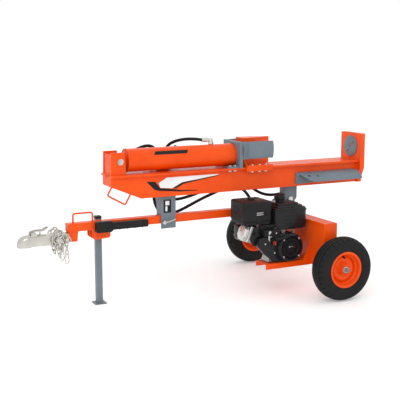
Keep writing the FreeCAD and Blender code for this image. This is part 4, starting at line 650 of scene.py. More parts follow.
makeWheel("left", -1)
makeWheel("right", 1)
print("wheels made")

# ---- engine ----
engine = {"crankX": -237, "crankZ": 318, "middleY": -235, "tilt": 20}
cleaner = {"x": (-550, -346), "y": (-290, -86), "z": (476, 622), "corner": 24, "topEdge": 12}
fuelTank = {"x": (-338, -96), "y": (-325, -92), "z": (438, 596), "seam": 560, "corner": 42,
            "cap": (-241, -200), "capRadius": 34, "capRidges": 20}
starter = {"y": -350, "ribs": 18, "bolts": 4, "boltCircle": 80}
crank = at(engine["crankX"], 0, engine["crankZ"])
tilt = Matrix.Translation(crank) @ Matrix.Rotation(math.radians(engine["tilt"]), 4,
                                                   "Y") @ Matrix.Translation(-crank)


def roundedBox(form, low, high, corner, top, segments=6):
    made = bmesh.ops.create_cube(form, size=1.0)["verts"]
    bmesh.ops.scale(form, vec=high - low, verts=made)
    bmesh.ops.translate(form, vec=(low + high) / 2, verts=made)
    upright = [edge for edge in {e for v in made for e in v.link_edges}
               if abs(edge.verts[0].co.z - edge.verts[1].co.z) > 1e-5]
    bmesh.ops.bevel(form, geom=upright, offset=corner, offset_type="OFFSET", segments=segments, profile=0.5,
                    affect="EDGES", material=-1)
    if top:
        rim = [edge for edge in form.edges if all(abs(v.co.z - high.z) < 1e-6 for v in edge.verts)
               and edge.is_manifold and edge.calc_face_angle(0) > 1]
        bmesh.ops.bevel(form, geom=rim, offset=top, offset_type="OFFSET", segments=4, profile=0.5,
                        affect="EDGES", material=-1)


def makeAirCleaner():
    (x0, x1), (y0, y1), (z0, z1) = cleaner["x"], cleaner["y"], cleaner["z"]
    form = bmesh.new()
    roundedBox(form, at(x0, y0, z0 + 22), at(x1, y1, z1), mm(cleaner["corner"]), mm(cleaner["topEdge"]))
    roundedBox(form, at(x0 + 3, y0 + 3, z0), at(x1 - 3, y1 - 3, z0 + 19), mm(22), 0)
    roundedBox(form, at(x0 - 1.5, y0 - 1.5, z0 + 22), at(x1 + 1.5, y1 + 1.5, z0 + 29), mm(25), 0)
    for index in range(5):  # moulded lines on the long sides
        z = z0 + 44 + index * 3.2
        addBlock(form, at(x0 - 0.8, y0 + 44, z - 0.7), at(x0 + 1, y1 - 44, z + 0.7), mm(0.3))
    for index in range(6):  # air slots on the front
        y = y0 + 46 + index * 20
        addBlock(form, at(x0 - 1.5, y, z1 - 44), at(x0 + 2, y + 12, z1 - 38), mm(0.8))
    for x, y in ((x0 + 102, y0 - 0.5), (x0 + 102, y1 + 0.5)):  # spring catches
        addBlock(form, at(x - 9, y - 3, z0 + 8), at(x + 9, y + 3, z0 + 40), mm(1.5))
    addPlate(form, [at(x0 + 60, y0 - 1, z0 + 54), at(x1 - 46, y0 - 1, z0 + 54),
                    at(x1 - 46, y0 - 1, z1 - 28),
                    at(x0 + 60, y0 - 1, z1 - 28)], Vector((0, mm(2), 0)), mm(0.5))
    addRod(form, at(x0 + 102, y0 + 102, z1 - 1), at(x0 + 102, y0 + 102, z1 + 5), mm(26), bevel=mm(2))
    for angle in range(0, 180, 60):  # the hand nut's wings
        turn = Matrix.Rotation(math.radians(angle), 3, "Z").to_4x4()
        addBlock(form, at(x0 + 80, y0 + 98.5, z1 + 4), at(x0 + 124, y0 + 105.5, z1 + 11), mm(2), turn=turn)
    newPiece("airCleanerCover", form, "chassis", "black_plastic", ["air_cleaner"])
    form = bmesh.new()  # plain badge with two bars
    left, low = x0 + 66, z0 + 60
    for dz in (2, 14):
        addBlock(form, at(left + 20, y0 - 1.8, low + dz), at(left + 68, y0 - 0.6, low + dz + 4), mm(0.3))
    newPiece("cleanerBadgeBars", form, "chassis", "bright_alloy")


def makeFuelTank():
    (x0, x1), (y0, y1), (z0, z1) = fuelTank["x"], fuelTank["y"], fuelTank["z"]
    seam, (capX, capY), capRadius = fuelTank["seam"], fuelTank["cap"], fuelTank["capRadius"]
    form = bmesh.new()
    roundedBox(form, at(x0, y0, z0), at(x1, y1, seam - 8), mm(fuelTank["corner"]), 0)
    roundedBox(form, at(x0 + 14, y0 + 14, z0 - 6), at(x1 - 14, y1 - 14, z0 + 4), mm(32), 0)
    roundedBox(form, at(x0 - 5, y0 - 5, seam - 8), at(x1 + 5, y1 + 5, seam), mm(48), mm(1.6))
    roundedBox(form, at(x0 + 3, y0 + 3, seam), at(x1 - 3, y1 - 3, seam + 12), mm(42), mm(6))
    roundedBox(form, at(x0 + 20, y0 + 20, seam + 11), at(x1 - 20, y1 - 20, z1 - 12), mm(34), mm(8))
    roundedBox(form, at(x0 + 40, y0 + 40, z1 - 13), at(x1 - 40, y1 - 40, z1), mm(30), mm(8))
    addRod(form, at(capX, capY, z1 - 14), at(capX, capY, z1 + 14), mm(26), bevel=mm(1.5))
    for index in range(3):  # pressed lines on the near wall
        z = z0 + 34 + 26 * index
        addBlock(form, at(x0 + 44, y0 - 1.6, z), at(x1 - 44, y0 + 2, z + 5), mm(1.4))
    newPiece("fuelTankShell", form, "chassis", "black_paint", ["fuel_tank"])

    form = bmesh.new()
    seat = z1 + 16.6
    profile = [(0.01, -12), (19, -12), (19.4, 0), (24.6, 0), (24.6, -10), (30, -10), (30, 0), (33.4, 1.5),
               (34, 5), (34, 18), (32.5, 22.5), (29, 25), (22, 26), (20, 24.5), (0.01, 24)]
    addSpin(form, [at(capX + r, capY, seat + z) for r, z in profile], at(capX, capY, seat), (0, 0, 1), 60,
            closed=False)
    for index in range(fuelTank["capRidges"]):
        turn = Matrix.Rotation(math.tau * index / fuelTank["capRidges"], 4, "Z")
        spot = at(capX, capY, seat + 11) + turn @ Vector((mm(capRadius), 0, 0))
        addRod(form, spot - Vector((0, 0, mm(7))), spot + Vector((0, 0, mm(7))), mm(1.8), bevel=mm(0.6),
               segments=8)
    addBlock(form, at(capX - 22, capY - 5.5, seat + 23), at(capX + 22, capY + 5.5, seat + 32), mm(3))
    newPiece("fuelCapKnob", form, "petrol_cap", "black_plastic", ["fuel_cap"])


def makeBlower():
    x, z, y = engine["crankX"], engine["crankZ"], starter["y"]
    form = bmesh.new()
    case = [(0.01, y + 12), (60, y + 12), (60, y + 4), (74, y), (83, y + 1.5), (90, y + 7), (94, y + 16),
            (95, y + 30), (95, y + 52), (0.01, y + 52)]
    addSpin(form, [at(x + r, yy, z) for r, yy in case], at(x, y, z), (0, 1, 0), 96, closed=False)
    duct = [(-20, 92), (-150, 92), (-226, 74), (-244, 30), (-196, -24), (-120, -84), (-50, -90)]
    addPlate(form, [at(x + dx, y + 12, z + dz) for dx, dz in duct], Vector((0, mm(40), 0)), mm(9), 4)
    for index in range(4):  # pressed steps on the duct
        addBlock(form, at(x - 176 + 22 * index, y + 10, z + 24), at(x - 168 + 22 * index, y + 14, z + 78),
                 mm(1.8))
    newPiece("blowerShroud", form, "chassis", "black_paint", ["blower_housing"])

    form = bmesh.new()
    cover = [(60, y + 14), (60, y + 2.5), (57, y + 1), (52, y + 3), (50, y + 8), (31, y + 8), (29, y + 2),
             (26, y + 0.5), (0.01, y)]
    addSpin(form, [at(x + r, yy, z) for r, yy in cover], at(x, y, z), (0, 1, 0), 96, closed=False)
    for index in range(starter["ribs"]):
        turn = Matrix.Translation(at(x, 0, z)) @ Matrix.Rotation(math.tau * index / starter["ribs"], 4, "Y")
        made = bmesh.ops.create_cube(form, size=1.0)["verts"]
        bmesh.ops.scale(form, vec=(mm(24), mm(6), mm(4)), verts=made)
        bmesh.ops.translate(form, vec=(mm(41), mm(y + 5), 0), verts=made)
        bmesh.ops.transform(form, matrix=turn, verts=made)
    newPiece("starterCover", form, "chassis", "black_plastic")

    form = bmesh.new()
    for index in range(starter["bolts"]):
        angle = math.tau * (index + 0.5) / starter["bolts"]
        spot = at(x + starter["boltCircle"] * math.cos(angle), y + 1,
                  z + starter["boltCircle"] * math.sin(angle))
        addBolt(form, spot, (0, -1, 0), mm(6))
    addBlock(form, at(x - 20, y - 2, z + 3), at(x + 20, y + 1, z + 10), mm(0.8))
    for dx, dz in ((-150, 84), (-190, 40), (-120, -24)):
        addBolt(form, at(x + dx, y + 12, z + dz), (0, -1, 0), mm(5))
    newPiece("blowerScrews", form, "chassis", "bright_steel")


def makeValveCover():
    x0, x1 = engine["crankX"] - 317, engine["crankX"] - 285
    y, z = engine["middleY"], engine["crankZ"]
    form = bmesh.new()

    def octagon(x, wide, high):
        corners = [math.radians(22.5 + 45 * index) for index in range(8)]
        return [at(x, y + wide * math.cos(angle), z + high * math.sin(angle)) for angle in corners]

    addPlate(form, octagon(x1, 50, 58), Vector((mm(-6), 0, 0)), mm(1))
    addPlate(form, octagon(x1 - 5, 45, 53), Vector((mm(-23), 0, 0)), mm(5), 3)
    addPlate(form, octagon(x0 + 5, 30, 37), Vector((mm(-4), 0, 0)), mm(2.5), 2)
    addBolt(form, at(x0 + 1, y, z), (-1, 0, 0), mm(8))
    for dy, dz in ((-38, 40), (38, 40), (-38, -40), (38, -40)):
        addBolt(form, at(x1 - 6, y + dy, z + dz), (-1, 0, 0), mm(4.5))
    bmesh.ops.translate(form, vec=(mm(-16), 0, 0), verts=form.verts)
    addPlate(form, [at(x1 - 10, y + dy, z + dz) for dy, dz in ((-44, -52), (44, -52), (44, 52), (-44, 52))],
             Vector((mm(14), 0, 0)), mm(4))
    bmesh.ops.transform(form, matrix=tilt, verts=form.verts)
    newPiece("valveCoverCast", form, "chassis", "bright_alloy", ["valve_cover"])

    form = bmesh.new()  # sheet cowl along the fins, on the starter's side
    cowl = [(-96, -62), (-96, 40), (-150, 60), (-262, 60), (-282, 46), (-282, -30), (-250, -62)]
    addPlate(form, [at(engine["crankX"] + dx, y - 55, z + dz) for dx, dz in cowl], Vector((0, mm(3), 0)),
             mm(0.8))
    addPlate(form, [at(engine["crankX"] + dx, y - 55, z + 60) for dx in (-140, -276)]
             + [at(engine["crankX"] + dx, y + 40, z + 60) for dx in (-276, -140)], Vector((0, 0, mm(3))),
             mm(0.8))
    bmesh.ops.transform(form, matrix=tilt, verts=form.verts)
    newPiece("cylinderCowl", form, "chassis", "black_paint")


def makeEngineTrim():
    form = bmesh.new()  # control panel under the cleaner
    addBlock(form, at(-432, -342, 404), at(-318, -300, 444), mm(6), 3)
    addBlock(form, at(-424, -346, 410), at(-330, -340, 436), mm(2))
    addPlate(form, [at(-440, -300, 440), at(-300, -300, 440), at(-300, -300, 470), at(-440, -300, 470)],
             Vector((0, mm(30), 0)), mm(3))
    newPiece("controlPanel", form, "chassis", "black_plastic")

    form = bmesh.new()  # bright screws, rods and springs by the carburettor
    for sx, sy, sz, size in ((-436, -318, 384, 7), (-396, -332, 378, 6), (-352, -347, 423, 5),
                             (-404, -347, 423, 5)):
        addBolt(form, at(sx, sy, sz), (0, -1, 0), mm(size))
    addRod(form, at(-420, -310, 396), at(-330, -306, 448), mm(1.6), segments=10)
    addRod(form, at(-404, -312, 402), at(-372, -240, 452), mm(1.4), segments=10)
    newPiece("linkageScrews", form, "chassis", "bright_steel")

    form = bmesh.new()  # brass drain plug on the crankcase's front
    addHex(form, at(-392, -268, 300), at(-404, -268, 304), mm(16))
    addRod(form, at(-380, -268, 296), at(-393, -268, 300), mm(6.5), bevel=mm(0.5))
    newPiece("drainPlug", form, "chassis", "bright_steel", look="brass")

    form = bmesh.new()  # oil filler and dipstick
    addRod(form, at(-345, -298, 262), at(-366, -320, 276), mm(11), bevel=mm(1))
    addRod(form, at(-366, -320, 276), at(-374, -328, 281), mm(14), bevel=mm(2), segments=16)
    newPiece("oilFiller", form, "chassis", "black_plastic")


def makeMuffler():
    form = bmesh.new()
    low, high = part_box("muffler")
    canHigh = Vector((high.x, high.y - mm(22), high.z))
    addBlock(form, low + Vector((0, mm(12), 0)), canHigh, mm(18), 5)
    for index in range(6):  # louvres of the heat guard
        x = low.x + mm(22 + index * 16)
        addBlock(form, Vector((x, canHigh.y + mm(3), low.z + mm(44))),
                 Vector((x + mm(9), canHigh.y + mm(8), high.z - mm(16))), mm(2))
    addBlock(form, Vector((low.x + mm(10), canHigh.y - mm(1), low.z + mm(34))),
             Vector((high.x - mm(8), canHigh.y + mm(4), high.z - mm(6))), mm(2))
    addRod(form, Vector((low.x + mm(26), canHigh.y - mm(1), low.z + mm(22))),
           Vector((low.x + mm(26), high.y, low.z + mm(22))), mm(12), bevel=mm(1))
    addRod(form, Vector((low.x + mm(50), low.y, low.z + mm(50))),
           Vector((low.x + mm(50), low.y + mm(16), low.z + mm(50))), mm(13))
    newPiece("mufflerCan", form, "chassis", "black_paint", ["muffler"])


makeAirCleaner()
makeFuelTank()
makeBlower()
makeValveCover()
makeEngineTrim()
makeMuffler()
print("engine made")

# ---- coupler, chains and document tube ----
coupler = {"ballX": -1885, "ballZ": 445, "rear": -1616, "top": 481, "bottom": 418, "half": 30,
           "latchX": -1832, "latchZ": 497}
chain = {"wire": 3.8, "length": 38, "width": 25.2, "pitch": 24.6}


def addLink(form, centre, along, side):  # an oval link with its long way and its wide way
    along, side = along.normalized(), side.normalized()
    reach = mm(chain["width"] / 2 - chain["wire"])
    straight = mm((chain["length"] - chain["width"]) / 2)
    points = []
    for end in (1, -1):
        for index in range(7):
            angle = math.pi * index / 6
            points.append(centre + along * end * (straight + reach * math.sin(angle))
                          + side * end * reach * math.cos(angle))
    addTube(form, points + [points[0]], mm(chain["wire"]), sides=8, closed=True)


def addChain(form, route, roll=0):
    line = lineOf(route)
    walked, index = 0.0, 0
    pitch = mm(chain["pitch"])
    for a, b in zip(line, line[1:]):
        span = (b - a).length
        while walked <= span:
            way = (b - a).normalized()
            across = way.cross(Vector((1, 0, 0)) if abs(way.x) < 0.8 else Vector((0, 0, 1))).normalized()
            wide = Matrix.Rotation(math.radians(45 + 90 * ((index + roll) % 2)), 3, way) @ across
            addLink(form, a + way * walked, way, wide)
            walked += pitch
            index += 1
        walked -= span


def addHook(form, top, lean):
    shape = [(9, -16), (9, 4), (0, 9), (-9, 4), (-9, -14), (-12, -34), (-4, -50), (8, -48), (12, -36),
             (9, -22)]
    points = [top + Vector((mm(x * lean), 0, mm(z))) for x, z in shape]
    addTube(form, points, mm(3.8), sides=10)


def makeChains():
    for side, name in ((-1, "near"), (1, "far")):
        form = bmesh.new()
        y = side * 47
        addChain(form, [(-1637, y, 446), (-1638, y, 424), (-1637, y, 400), (-1637, y, 370)])
        addHook(form, at(-1637, y, 352), side)
        newPiece(name + "HookChain", form, name + "_safety_chain", "zinc_plate", [name + "_chain"],
                 smooth=80)
        form = bmesh.new()
        addChain(form, [(-1650, y, 462), (-1662, y, 496), (-1688, y, 508), (-1712, y, 492), (-1722, y, 456),
                        (-1712, y, 418), (-1690, y, 396), (-1668, y, 400), (-1654, y, 426)], 1)
        lower = y * 1.16
        addChain(form, [(-1622, lower, 452), (-1632, lower, 480), (-1662, lower, 486), (-1690, lower, 470),
                        (-1694, lower, 430), (-1690, lower, 380), (-1684, lower, 350), (-1676, lower, 380),
                        (-1668, lower, 424)])
        newPiece(name + "SlackChain", form, name + "_safety_chain", "zinc_plate", smooth=80)


def makeCoupler():
    form = bmesh.new()
    x0, x1, half = coupler["ballX"] + 24, coupler["rear"], coupler["half"]
    top, low = coupler["top"], coupler["bottom"]
    rings = []
    for x, wide, roof in ((-1922, 9, 440), (-1916, 20, 456), (-1904, 30, 469), (-1885, 34.5, 478),
                          (-1862, 34.5, 481), (-1836, half + 1, top), (-1700, half, top), (x1, half, top)):
        arch = [(-wide, low + 4), (-wide, roof - 14), (-wide + 3, roof - 6), (-wide + 9, roof - 1),
                (0, roof), (wide - 9, roof - 1), (wide - 3, roof - 6), (wide, roof - 14), (wide, low + 4)]
        rings.append([form.verts.new(at(x, y, z)) for y, z in arch])
    for one, two in zip(rings, rings[1:]):
        for index in range(8):
            form.faces.new((one[index], one[index + 1], two[index + 1], two[index]))
    form.faces.new(rings[0])
    bmesh.ops.recalc_face_normals(form, faces=form.faces)
    bmesh.ops.solidify(form, geom=form.faces, thickness=mm(-3.5))
    addPlate(form, [at(-1924, -20, low + 4), at(-1924, 20, low + 4), at(-1900, 37, low + 4),
                    at(-1850, 37, low + 4),
                    at(-1850, 28, low + 4), at(-1890, 27, low + 4), at(-1912, 12, low + 4),
                    at(-1912, -12, low + 4),
                    at(-1890, -27, low + 4), at(-1850, -28, low + 4), at(-1850, -37, low + 4),
                    at(-1900, -37, low + 4)], Vector((0, 0, mm(-4))), mm(0.8))
    for x in (x0 + 40, x0 + 120):  # pressed ribs along the top
        addBlock(form, at(x, -8, top - 1.5), at(x + 56, 8, top + 2.5), mm(2.4), 3)
    for y in (-half - 1, half + 1):
        addBlock(form, at(x0 + 30, y - 2, 446), at(x1 - 100, y + 2, 456), mm(1.8), 3)
    ball = at(coupler["ballX"], 0, coupler["ballZ"])
    dome = [(38, -27), (38, -23), (33, -21), (32.8, 0), (31, 10), (26, 20), (18, 28), (9, 32), (0.01, 33),
            (0.01, 26), (14, 22), (22, 13), (25.8, 0), (25.8, -27)]
    addSpin(form, [ball + Vector((mm(r), 0, mm(z))) for r, z in dome], ball, (0, 0, 1), 64, closed=False)
    newPiece("couplerShell", form, "chassis", "zinc_plate", ["coupler_body"], smooth=40)
    form = bmesh.new()
    for y in (-1, 1):  # ears that hold the latch
        addPlate(form, [at(-1848, y * 27, top - 2), at(-1814, y * 27, top - 2), at(-1818, y * 27, 505),
                        at(-1832, y * 27, 509), at(-1845, y * 27, 503)], Vector((0, mm(y * 5), 0)), mm(0.8))
    addBlock(form, at(-1800, -22, top + 1), at(-1770, 22, top + 5), mm(1))
    addRod(form, at(-1786, 0, top), at(-1786, 0, top + 20), mm(4), bevel=mm(1))
    newPiece("latchEars", form, "chassis", "zinc_plate")
    form = bmesh.new()
    latchX, latchZ = coupler["latchX"], coupler["latchZ"]
    side = [(-9, 2), (-6, 14), (8, 20), (60, 20), (88, 36), (93, 34), (90, 27), (64, 9), (10, 8), (6, 0)]
    for y in (-14, 11):
        addPlate(form, [at(latchX + dx, y, latchZ + dz) for dx, dz in side], Vector((0, mm(3), 0)), mm(0.6),
                 1)
    addPlate(form, [at(latchX + dx, -14, latchZ + dz) for dx, dz in side[1:6]]
             + [at(latchX + 89, -14, latchZ + 30),
             at(latchX + 60, -14, latchZ + 16), at(latchX + 8, -14, latchZ + 16)], Vector((0, mm(28), 0)),
             mm(0.8), 1)
    addRod(form, at(latchX, -34, latchZ), at(latchX, 34, latchZ), mm(5), bevel=mm(1))
    newPiece("latchLever", form, "latch", "zinc_plate", ["coupler_latch"])


def makeHolder():
    capLow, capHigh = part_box("holder_cap")
    form = bmesh.new()
    front, rear = -1430, -1108
    y, z = -45, 506
    addBlock(form, at(front, y - 16, z - 23), at(rear, y + 16, z + 23), mm(8), 4)
    for x in (-1300, -1250, -1200, -1150):
        addBlock(form, at(x - 3, y - 17.5, z - 24), at(x + 3, y + 17.5, z + 24), mm(2), 2)
    for x in (-1310, -1190):
        addBlock(form, at(x - 11, y + 14, z - 14), at(x + 11, y + 20, z + 14), mm(2))
    addRod(form, at(rear - 22, y - 20, z), at(rear - 22, y - 14, z), mm(13), bevel=mm(2))
    newPiece("documentTube", form, "chassis", "black_plastic", ["manual_holder"])
    form = bmesh.new()
    addPlate(form, [capLow * 1.0 + Vector((mm(dx), 0, mm(dz))) for dx, dz in
                    ((0, 6), (0, 62), (8, 68), (96, 68), (110, 58), (110, 9), (96, 0), (8, 0))],
             Vector((0, capHigh.y - capLow.y, 0)), mm(5), 3)
    for x in (20, 40, 60, 80):
        addBlock(form, capLow + Vector((mm(x), mm(-0.6), mm(8))),
                 capLow + Vector((mm(x + 5), mm(3), mm(60))), mm(1.4))
    newPiece("documentTubeCap", form, "holder_lid", "black_plastic", ["holder_cap"])


makeChains()
makeCoupler()
makeHolder()
print("coupler, chains and document tube made")

# ---- beam trim ----
beam = {"front": -1359, "rear": 468, "bottom": 666, "top": 819, "side": 70, "flangeThick": 13}
stripe = {"lift": 0.4, "thick": 0.35}
disc = {"z": 910, "radius": 74, "petals": 4}


def addStripe(form, outline, side):
    y = side * (beam["side"] + stripe["lift"])
    addPlate(form, [at(x, y, z) for x, z in outline], Vector((0, mm(side * stripe["thick"]), 0)))


def makeStripes():
    white = [(-1044, 755), (-986, 786), (-822, 787), (-625, 787), (-625, 781), (-760, 764), (-882, 750),
             (-951, 716), (-1032, 724)]
    edge = [(-951, 715.4), (-881, 749.2), (-760, 763.2), (-625, 780.2), (-625, 776), (-760, 756),
            (-872, 739), (-922, 714)]
    hook = [(-1125, 769), (-1067, 765), (-1033, 722.8), (-953, 712), (-887, 701), (-775, 694), (-775, 690),
            (-900, 692), (-1044, 706), (-1074, 716)]
    for side, name in ((-1, "near"), (1, "far")):
        form = bmesh.new()
        addStripe(form, white, side)
        newPiece(name + "WhiteStripe", form, "beam_frame", "orange_powder", look="whiteVinyl")
        form = bmesh.new()
        addStripe(form, edge, side)
        addStripe(form, hook, side)
        newPiece(name + "BlackStripe", form, "beam_frame", "orange_powder", look="blackVinyl")


def makeDisc():
    centre = at(beam["rear"], 0, disc["z"])
    form = bmesh.new()
    outline = [(8, 0), (8, -5.5), (12, -7.5), (68, -7.5), (72, -6.5), (disc["radius"], -4),
               (disc["radius"], 0)]
    addSpin(form, [centre + Vector((mm(x), 0, mm(r))) for r, x in outline], centre, (1, 0, 0), 72)
    face = mm(-7.2)
    for index in range(disc["petals"]):
        turn = Matrix.Translation(centre) @ Matrix.Rotation(math.tau * (index + 0.5) / disc["petals"], 4,
                                                            "X")
        shape = [(face, mm(0), mm(15)), (face, mm(16), mm(38)), (face, mm(3), mm(67)),
                 (face, mm(-16), mm(42)), (face - mm(9), mm(2), mm(40))]
        points = [form.verts.new(turn @ Vector(point)) for point in shape]
        for one, two in ((0, 1), (1, 2), (2, 3), (3, 0)):
            form.faces.new((points[one], points[two], points[4]))
        form.faces.new(points[:4])
    newPiece("footDisc", form, "beam_frame", "grey_powder", ["foot_disc"])


weld = {"step": 5, "ripple": 0.18, "turn": 0.97 * math.pi, "phase": 0.6}


def addWeld(form, start, end, radius):  # a ripple of weld metal along a joint
    way = end - start
    count = max(4, int(way.length / mm(weld["step"])))
    points = [start + way * index / count for index in range(count + 1)]
    before = set(form.verts)
    addTube(form, points, mm(radius), sides=8)
    for vert in form.verts:
        if vert not in before:
            along = (vert.co - start).dot(way.normalized())
            middle = start + way.normalized() * along
            wave = math.sin(along / mm(weld["step"]) * weld["turn"] + weld["phase"])
            vert.co = middle + (vert.co - middle) * (1 + weld["ripple"] * wave)


def makeWelds():
    form = bmesh.new()
    low = beam["top"] - beam["flangeThick"]
    for side in (-1, 1):
        y = side * (beam["side"] + 1)
        for x in range(beam["front"] + 30, beam["rear"] - 60, 190):
            addWeld(form, at(x, y, low - 1), at(x + 90, y, low - 1), 3)
        addWeld(form, at(beam["rear"] - 1, y, beam["bottom"] + 6), at(beam["rear"] - 1, y, low - 4), 4)
        addWeld(form, at(beam["rear"] - 1, side * 4, beam["top"] + 1),
                at(beam["rear"] - 1, side * 88, beam["top"] + 1), 4)
        addWeld(form, at(beam["front"] + 8, side * 71, beam["top"] + 1),
                at(-1262, side * 71, beam["top"] + 1), 3.5)
    newPiece("beamWelds", form, "beam_frame", "orange_powder", smooth=60)
    form = bmesh.new()
    for side in (-1, 1):
        addWeld(form, at(-88, side * 30, 539), at(-16, side * 30, 539), 3.5)
        addWeld(form, at(-1612, side * 26, 487), at(-1558, side * 26, 487), 3)
    addWeld(form, at(-76, -328, 222), at(-76, -204, 222), 3.5)
    for x in (-1580, -1456):
        ring = at(x, 0, 539)
        addSpin(form, [ring + Vector((mm(7 + 2.4 * math.cos(a)), 0, mm(2.4 * math.sin(a))))
                       for a in range(6)],
                ring, (0, 0, 1), 24)
    newPiece("frameWelds", form, "chassis", "orange_powder", smooth=60)
    form = bmesh.new()
    for side in (-1, 1):
        addWeld(form, at(-92, side * 37, 665), at(-2, side * 37, 665), 3.5)
        addWeld(form, at(-1012, side * 37, 665), at(-914, side * 37, 665), 3.5)
        addWeld(form, at(-478, side * 108, 821), at(-478, side * 72, 821), 4)
    newPiece("bracketWelds", form, "beam_frame", "grey_powder", smooth=60)


placard = {"tongueHalf": 25, "gap": 5, "lift": 0.6, "saddleSteel": 6}


def makePlacard():  # plain two-tone plate on the saddle
    form = bmesh.new()
    y = -sum(placard.values())
    addBlock(form, at(-996, y - 0.7, 556), at(-944, y, 640), mm(0.25))
    newPiece("saddlePlate", form, "beam_frame", "grey_powder", look="blackVinyl")
    form = bmesh.new()
    addBlock(form, at(-984, y - 1.1, 604), at(-956, y - 0.6, 632), mm(0.15))
    addBlock(form, at(-984, y - 1.1, 566), at(-970, y - 0.6, 598), mm(0.15))
    newPiece("saddlePlateBars", form, "beam_frame", "grey_powder", look="whiteVinyl")


barrel = {"z": 900, "radius": 71.3, "ends": (-1233, -506), "weld": (5, 2.6), "gland": -470,
          "stripe": {"radius": 71.9, "start": -1068, "length": 225, "low": 26, "rise": 20, "lean": 12}}


def makeCylinderTrim():
    form = bmesh.new()
    wide, high = barrel["weld"]
    for x in barrel["ends"]:
        ring = at(x, 0, barrel["z"])
        addSpin(form, [ring + Vector((mm(wide * math.cos(a / 6 * math.tau)), 0,
                                      mm(barrel["radius"] + high * math.sin(a / 6 * math.tau))))
                       for a in range(6)], ring, (1, 0, 0), 72)
    newPiece("barrelWelds", form, "beam_frame", "orange_powder", smooth=60)
    form = bmesh.new()  # gland nut
    ring = at(barrel["gland"], 0, barrel["z"])
    gland = [(33, 0), (62, 0), (64, 1), (64, 6), (52, 8), (36, 8), (33, 6)]
    addSpin(form, [ring + Vector((mm(x), 0, mm(r))) for r, x in gland], ring, (1, 0, 0), 72)
    newPiece("glandNut", form, "beam_frame", "bright_steel")
    form = bmesh.new()  # plain stripe wrapped on the barrel's near side
    wrap = barrel["stripe"]
    made = bmesh.ops.create_grid(form, x_segments=16, y_segments=6, size=0.5)["verts"]
    for vert in made:
        along, across = vert.co.x + 0.5, vert.co.y + 0.5
        angle = math.radians(wrap["low"] + wrap["rise"] * across)
        reach = wrap["start"] + wrap["length"] * along + wrap["lean"] * across
        vert.co = at(reach, -wrap["radius"] * math.cos(angle),
                     barrel["z"] + wrap["radius"] * math.sin(angle))
    bmesh.ops.recalc_face_normals(form, faces=form.faces)
    bmesh.ops.solidify(form, geom=form.faces, thickness=mm(0.3))
    newPiece("barrelStripe", form, "beam_frame", "orange_powder", look="blackVinyl")


def makeValveTrim():
    form = bmesh.new()
    y = valve["y"]
    addBlock(form, at(-1010, y - 26, 838), at(-865, y + 26, 900), mm(6), 3)
    for x in (-975, -938, -900):  # cast ribs between the ports
        addBlock(form, at(x - 17, y + 20, 843), at(x - 6, y + 29, 895), mm(3), 2)
    addRod(form, at(-1056, y, 868), at(-1009, y, 868), mm(20), bevel=mm(3))
    addRod(form, at(-866, y, 868), at(-838, y, 868), mm(15), bevel=mm(2))
    addBlock(form, at(-845, y - 12, 856), at(-836, y + 12, 880), mm(1.5))
    for side in (-1, 1):
        addBlock(form, at(-838, y + side * 8.5 - 3.4, 856), at(-817, y + side * 8.5 + 3.4, 880), mm(1.5))
    addBlock(form, at(-980, y - 32, 819), at(-895, y - 26.5, 888), mm(1))
    addBlock(form, at(-980, 72, 819.4), at(-895, y - 20, 825), mm(1))
    for x in valve["workX"]:
        addHex(form, at(x, y, 898), at(x, y, 914), mm(26))
    for x in (valve["inX"], valve["outX"]):
        addHex(form, at(x, y, 840), at(x, y, 824), mm(26))
    addHex(form, at(-986, y + 25, 870), at(-986, y + 38, 870), mm(22))
    for x in (-1000, -876):
        for z in (850, 888):
            addBolt(form, at(x, y + 26, z), (0, 1, 0), mm(4))
    newPiece("valveBody", form, "beam_frame", "grey_iron", ["control_valve"])
    form = bmesh.new()
    leverX = valve["leverX"]
    lean = Vector((0, valve["leverLean"], 1)).normalized()
    foot = at(leverX, y, 874)
    addRod(form, foot - lean * mm(8), foot + lean * mm(valve["leverLength"]), mm(3.5), bevel=mm(0.5),
           segments=16)
    addRod(form, at(leverX, y - 4.2, 868), at(leverX, y + 4.2, 868), mm(8), bevel=mm(0.6))
    addRod(form, at(leverX, y - 14, 868), at(leverX, y + 14, 868), mm(3.8), bevel=mm(0.5))
    newPiece("leverStalk", form, "valve_handle", "bright_steel", ["valve_lever"])
    form = bmesh.new()
    top = foot + lean * mm(valve["leverLength"] + 4)
    addBall(form, top, mm(14.5))
    addRod(form, top - lean * mm(20), top - lean * mm(10), mm(7), tip=mm(10), bevel=mm(1))
    newPiece("leverKnob", form, "valve_handle", "black_plastic")


cradle = {"front": -37, "rear": 440, "top": 760, "steel": 6, "holes": ((30, 138), (92, 150)),
          "holeRadius": 9}


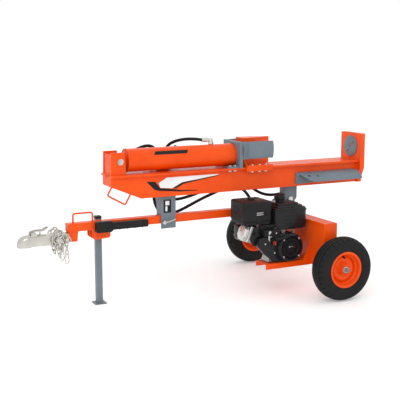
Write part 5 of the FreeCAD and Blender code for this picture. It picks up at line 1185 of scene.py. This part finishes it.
def makeCradles():
    section = [(70, 0), (100, -1), (124, -6), (146, -17), (162, -30), (172, -42), (177, -52), (178, -58)]
    for side, name in ((-1, "near"), (1, "far")):
        form = bmesh.new()
        rows = []
        for x, share in ((cradle["front"] + 10, 0.10), (cradle["front"] + 34, 0.45),
                         (cradle["front"] + 60, 0.8), (cradle["front"] + 84, 1), (cradle["rear"], 1)):
            row = []
            for y, drop in section:
                across = 70 + (y - 70) * share
                row.append(form.verts.new(at(x, side * across, cradle["top"] + drop * share)))
            rows.append(row)
        for one, two in zip(rows, rows[1:]):
            for index in range(len(section) - 1):
                form.faces.new((one[index], one[index + 1], two[index + 1], two[index]))
        bmesh.ops.recalc_face_normals(form, faces=form.faces)
        if form.faces[0].normal.z < 0:
            bmesh.ops.reverse_faces(form, faces=form.faces)
        bmesh.ops.solidify(form, geom=form.faces, thickness=mm(cradle["steel"]))
        plate = bpy.data.meshes.new("plate")
        form.to_mesh(plate)
        form.free()
        body = bpy.data.objects.new("plate", plate)
        scene.collection.objects.link(body)
        drill = bmesh.new()
        for x, y in cradle["holes"]:
            addRod(drill, at(x, side * y, 700), at(x, side * y, 780), mm(cradle["holeRadius"]), segments=32)
        cutter = bpy.data.meshes.new("cutter")
        drill.to_mesh(cutter)
        drill.free()
        bit = bpy.data.objects.new("cutter", cutter)
        scene.collection.objects.link(bit)
        cut = body.modifiers.new("holes", "BOOLEAN")
        cut.object = bit
        cut.solver = "EXACT"
        bpy.context.view_layer.update()
        cutMesh = bpy.data.meshes.new_from_object(body.evaluated_get(bpy.context.evaluated_depsgraph_get()))
        form = bmesh.new()
        form.from_mesh(cutMesh)
        for item in (plate, cutter, cutMesh):
            bpy.data.meshes.remove(item)
        web = [(cradle["front"], 680), (cradle["front"], 756), (cradle["front"] + 16, 760),
               (cradle["rear"], 760), (cradle["rear"], 700), (cradle["front"] + 44, 680)]
        addPlate(form, [at(x, side * 70.2, z) for x, z in web], Vector((0, mm(side * cradle["steel"]), 0)),
                 mm(0.8))
        newPiece(name + "Cradle", form, "beam_frame", "grey_powder", ["log_cradles"])


ribs = {"xs": (-459, -449, -439, -429), "y": 112.5, "bulge": 12, "foot": 880, "height": 104, "radius": 3,
        "steps": 8}


def makeStripperRibs():
    form = bmesh.new()
    for side in (-1, 1):
        for x in ribs["xs"]:
            points = []
            for index in range(ribs["steps"] + 1):
                share = index / ribs["steps"]
                bulge = ribs["bulge"] * (1 - (2 * share - 1) ** 2)
                points.append(at(x, side * (ribs["y"] + bulge), ribs["foot"] + ribs["height"] * share))
            addTube(form, points, mm(ribs["radius"]), sides=10)
    newPiece("stripperRibs", form, "beam_frame", "grey_powder", smooth=60)


makeCradles()
makeStripperRibs()
makeStripes()
makeDisc()
makeWelds()
makePlacard()
makeCylinderTrim()
makeValveTrim()
print("beam trim made")
